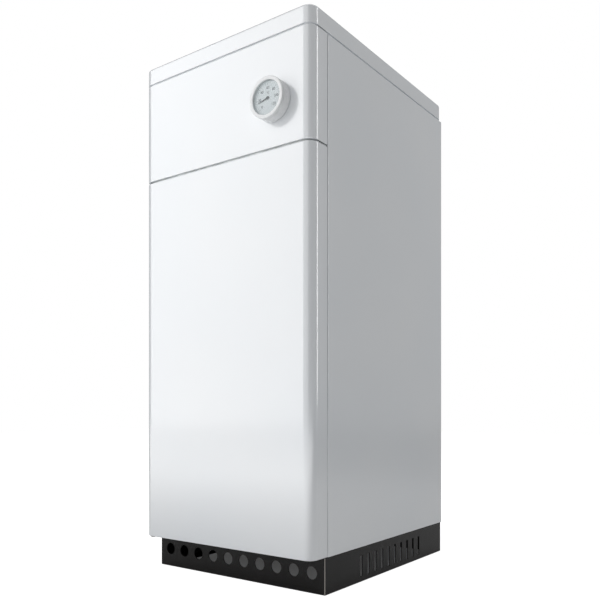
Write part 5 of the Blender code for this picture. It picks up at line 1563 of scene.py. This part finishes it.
def make_thin_tubes():
    """Capillaries, pilot pipe, probes with their leads and gas pipe: a round section and soft bends."""
    tubes = (
        ("gauge_capillary_drawn", "gauge_capillary", copper, "copper"),
        ("thermostat_capillary_drawn", "thermostat_capillary", copper, "copper"),
        ("pilot_pipe_drawn", "pilot_pipe", copper, "copper"),
        ("thermocouple_sheathed", "thermocouple", sensing, "copper"),
        ("ignition_lead_sleeved", "ignition_electrode", ignition, "white_plastic"),
        ("valve_outlet_pipe_drawn", "valve_outlet_pipe", brass, "brass"),
    )
    for name, node, finish, slot in tubes:
        tube = put_in_scene(name, nodes[node].data.copy())
        facets = bmesh.new()
        facets.from_mesh(tube.data)
        bmesh.ops.remove_doubles(facets, verts=facets.verts, dist=merge_distance)
        bmesh.ops.join_triangles(facets, faces=facets.faces, angle_face_threshold=math.pi / 3,
                                 angle_shape_threshold=math.pi)
        crease = facets.edges.layers.float.new("crease_edge")
        for edge in facets.edges:
            edge[crease] = float(edge.calc_face_angle(0) > tube_end_angle)
        facets.to_mesh(tube.data)
        facets.free()
        rounding = tube.modifiers.new("round section", "SUBSURF")
        rounding.levels = rounding.render_levels = tube_rounding_levels
        settle(tube)
        shade(tube)
        dress(tube, finish, "casing", slot, node)


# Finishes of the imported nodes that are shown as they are


def finish_nodes():
    """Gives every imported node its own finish."""
    finishes = {
        "white_enamel": white_paint, "black_enamel": black_paint, "zinc_plate": zinc,
        "boiler_steel": boiler_paint, "stainless_steel": steel, "brass": brass, "copper": copper,
        "cast_aluminium": casting, "black_plastic": black_moulding, "white_plastic": white_moulding,
        "foil_wool": foil, "clear_glass": glass,
    }
    special = {f"turbulator_{index + 1}": hot_steel for index in range(burner_count)}
    slots = {part["node"]: part["material_slot"] for part in frame["record"]["subparts"]}
    for name, node in nodes.items():
        finish = special.get(name, finishes[slots[name]])
        for place in node.material_slots:
            place.material = finish


# Stage


def by_ray(tree, seen, reflected, lighting):
    """A strength for rays from the camera or through glass, one for reflections and one for soft light."""
    path = add_node(tree, "ShaderNodeLightPath")
    clear = add_node(tree, "ShaderNodeMath", {0: path.outputs["Is Camera Ray"],
                                              1: path.outputs["Is Transmission Ray"]}, operation="MAXIMUM")
    unseen = add_node(tree, "ShaderNodeMix", {0: path.outputs["Is Glossy Ray"], 2: lighting, 3: reflected})
    return add_node(tree, "ShaderNodeMix", {0: clear.outputs[0], 2: unseen.outputs[0], 3: seen}).outputs[0]


def pale_stage_material():
    """Pale studio paper that looks near white, but glows far less under the plinth, a painted shade under the
    boiler. Reflections of it fade out towards the boiler.
    """
    material, tree, shader, place = bare_material("pale studio paper")
    colour = blended(tree, patches(tree, place, 900, 0, 1), "#E9E9E9", "#EEEEEE")
    # Painted shade: within the plinth's footprint the floor glows far less
    low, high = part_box("plinth")
    axes = add_node(tree, "ShaderNodeSeparateXYZ", {"Vector": place})
    across = add_node(tree, "ShaderNodeMath", {0: axes.outputs["X"], 1: 0.0, 2: high.x}, operation="COMPARE")
    along = add_node(tree, "ShaderNodeMath", {0: axes.outputs["Y"], 1: (plinth_front() + high.y) / 2,
                                              2: (high.y - plinth_front()) / 2}, operation="COMPARE")
    under = add_node(tree, "ShaderNodeMath", {0: across.outputs[0], 1: along.outputs[0]},
                     operation="MULTIPLY").outputs[0]
    shown = add_node(tree, "ShaderNodeMix", {0: under, 2: floor_glow, 3: painted_shade_floor_glow}).outputs[0]
    mirrored = add_node(tree, "ShaderNodeMapRange",
                        {"Value": axes.outputs["Y"], "From Min": floor_mirror_near, "To Min": 0.0,
                         "From Max": floor_mirror_far, "To Max": floor_mirror_glow}).outputs[0]
    glow = by_ray(tree, shown, mirrored, 0.0)
    set_shader(tree, shader, Base_Color=colour, Roughness=0.9, Specular_IOR_Level=0.0,
               Emission_Color=linear("#FFFFFF"), Emission_Strength=glow)
    return material


def make_stage():
    """Plain pale floor and a white surround."""
    floor = solid("floor", [(-floor_half, -floor_half, 0), (floor_half, -floor_half, 0),
                            (floor_half, floor_half, 0), (-floor_half, floor_half, 0)], [(0, 1, 2, 3)])
    floor.data.materials.append(pale_stage_material())
    world = bpy.data.worlds.new("studio")
    bpy.context.scene.world = world
    world.use_nodes = True
    tree = world.node_tree
    tree.nodes.clear()
    strength = by_ray(tree, 1.0, room_reflected, room_light)
    light = add_node(tree, "ShaderNodeBackground", {"Color": linear("#FFFFFF"), "Strength": strength})
    add_node(tree, "ShaderNodeOutputWorld", {"Surface": light.outputs[0]})


def make_lamps():
    """Soft rectangular lamps, each with its place, the point it faces, its size and its brightness."""
    for name, spot, target, size, brightness in lamps:
        data = bpy.data.lights.new(name, "AREA")
        data.shape = "RECTANGLE"
        data.size, data.size_y = size
        data.energy = brightness * math.pi * size[0] * size[1]
        lamp = put_in_scene(name, data)
        lamp.location = spot
        lamp.rotation_euler = (Vector(target) - Vector(spot)).to_track_quat("-Z", "Y").to_euler()


def make_camera():
    """The photograph's camera: level, with the picture shifted up."""
    data = bpy.data.cameras.new("camera")
    data.lens = camera_lens
    data.sensor_width = camera_sensor
    data.shift_y = camera_shift_y
    camera = put_in_scene("camera", data)
    camera.location = camera_place
    camera.rotation_euler = (math.pi / 2, 0, math.radians(camera_heading))
    bpy.context.scene.camera = camera


make_camera()
make_stage()
make_lamps()
finish_nodes()
make_front()
make_sides()
make_lid()
make_flue_collar()
make_plinth()
make_gauge()
make_insulation()
make_pipes()
make_gas_valve()
make_knob()
make_piezo()
make_screws()
make_shutter()
make_burner_tubes()
make_thin_tubes()

bpy.context.scene.view_settings.view_transform = "Standard"
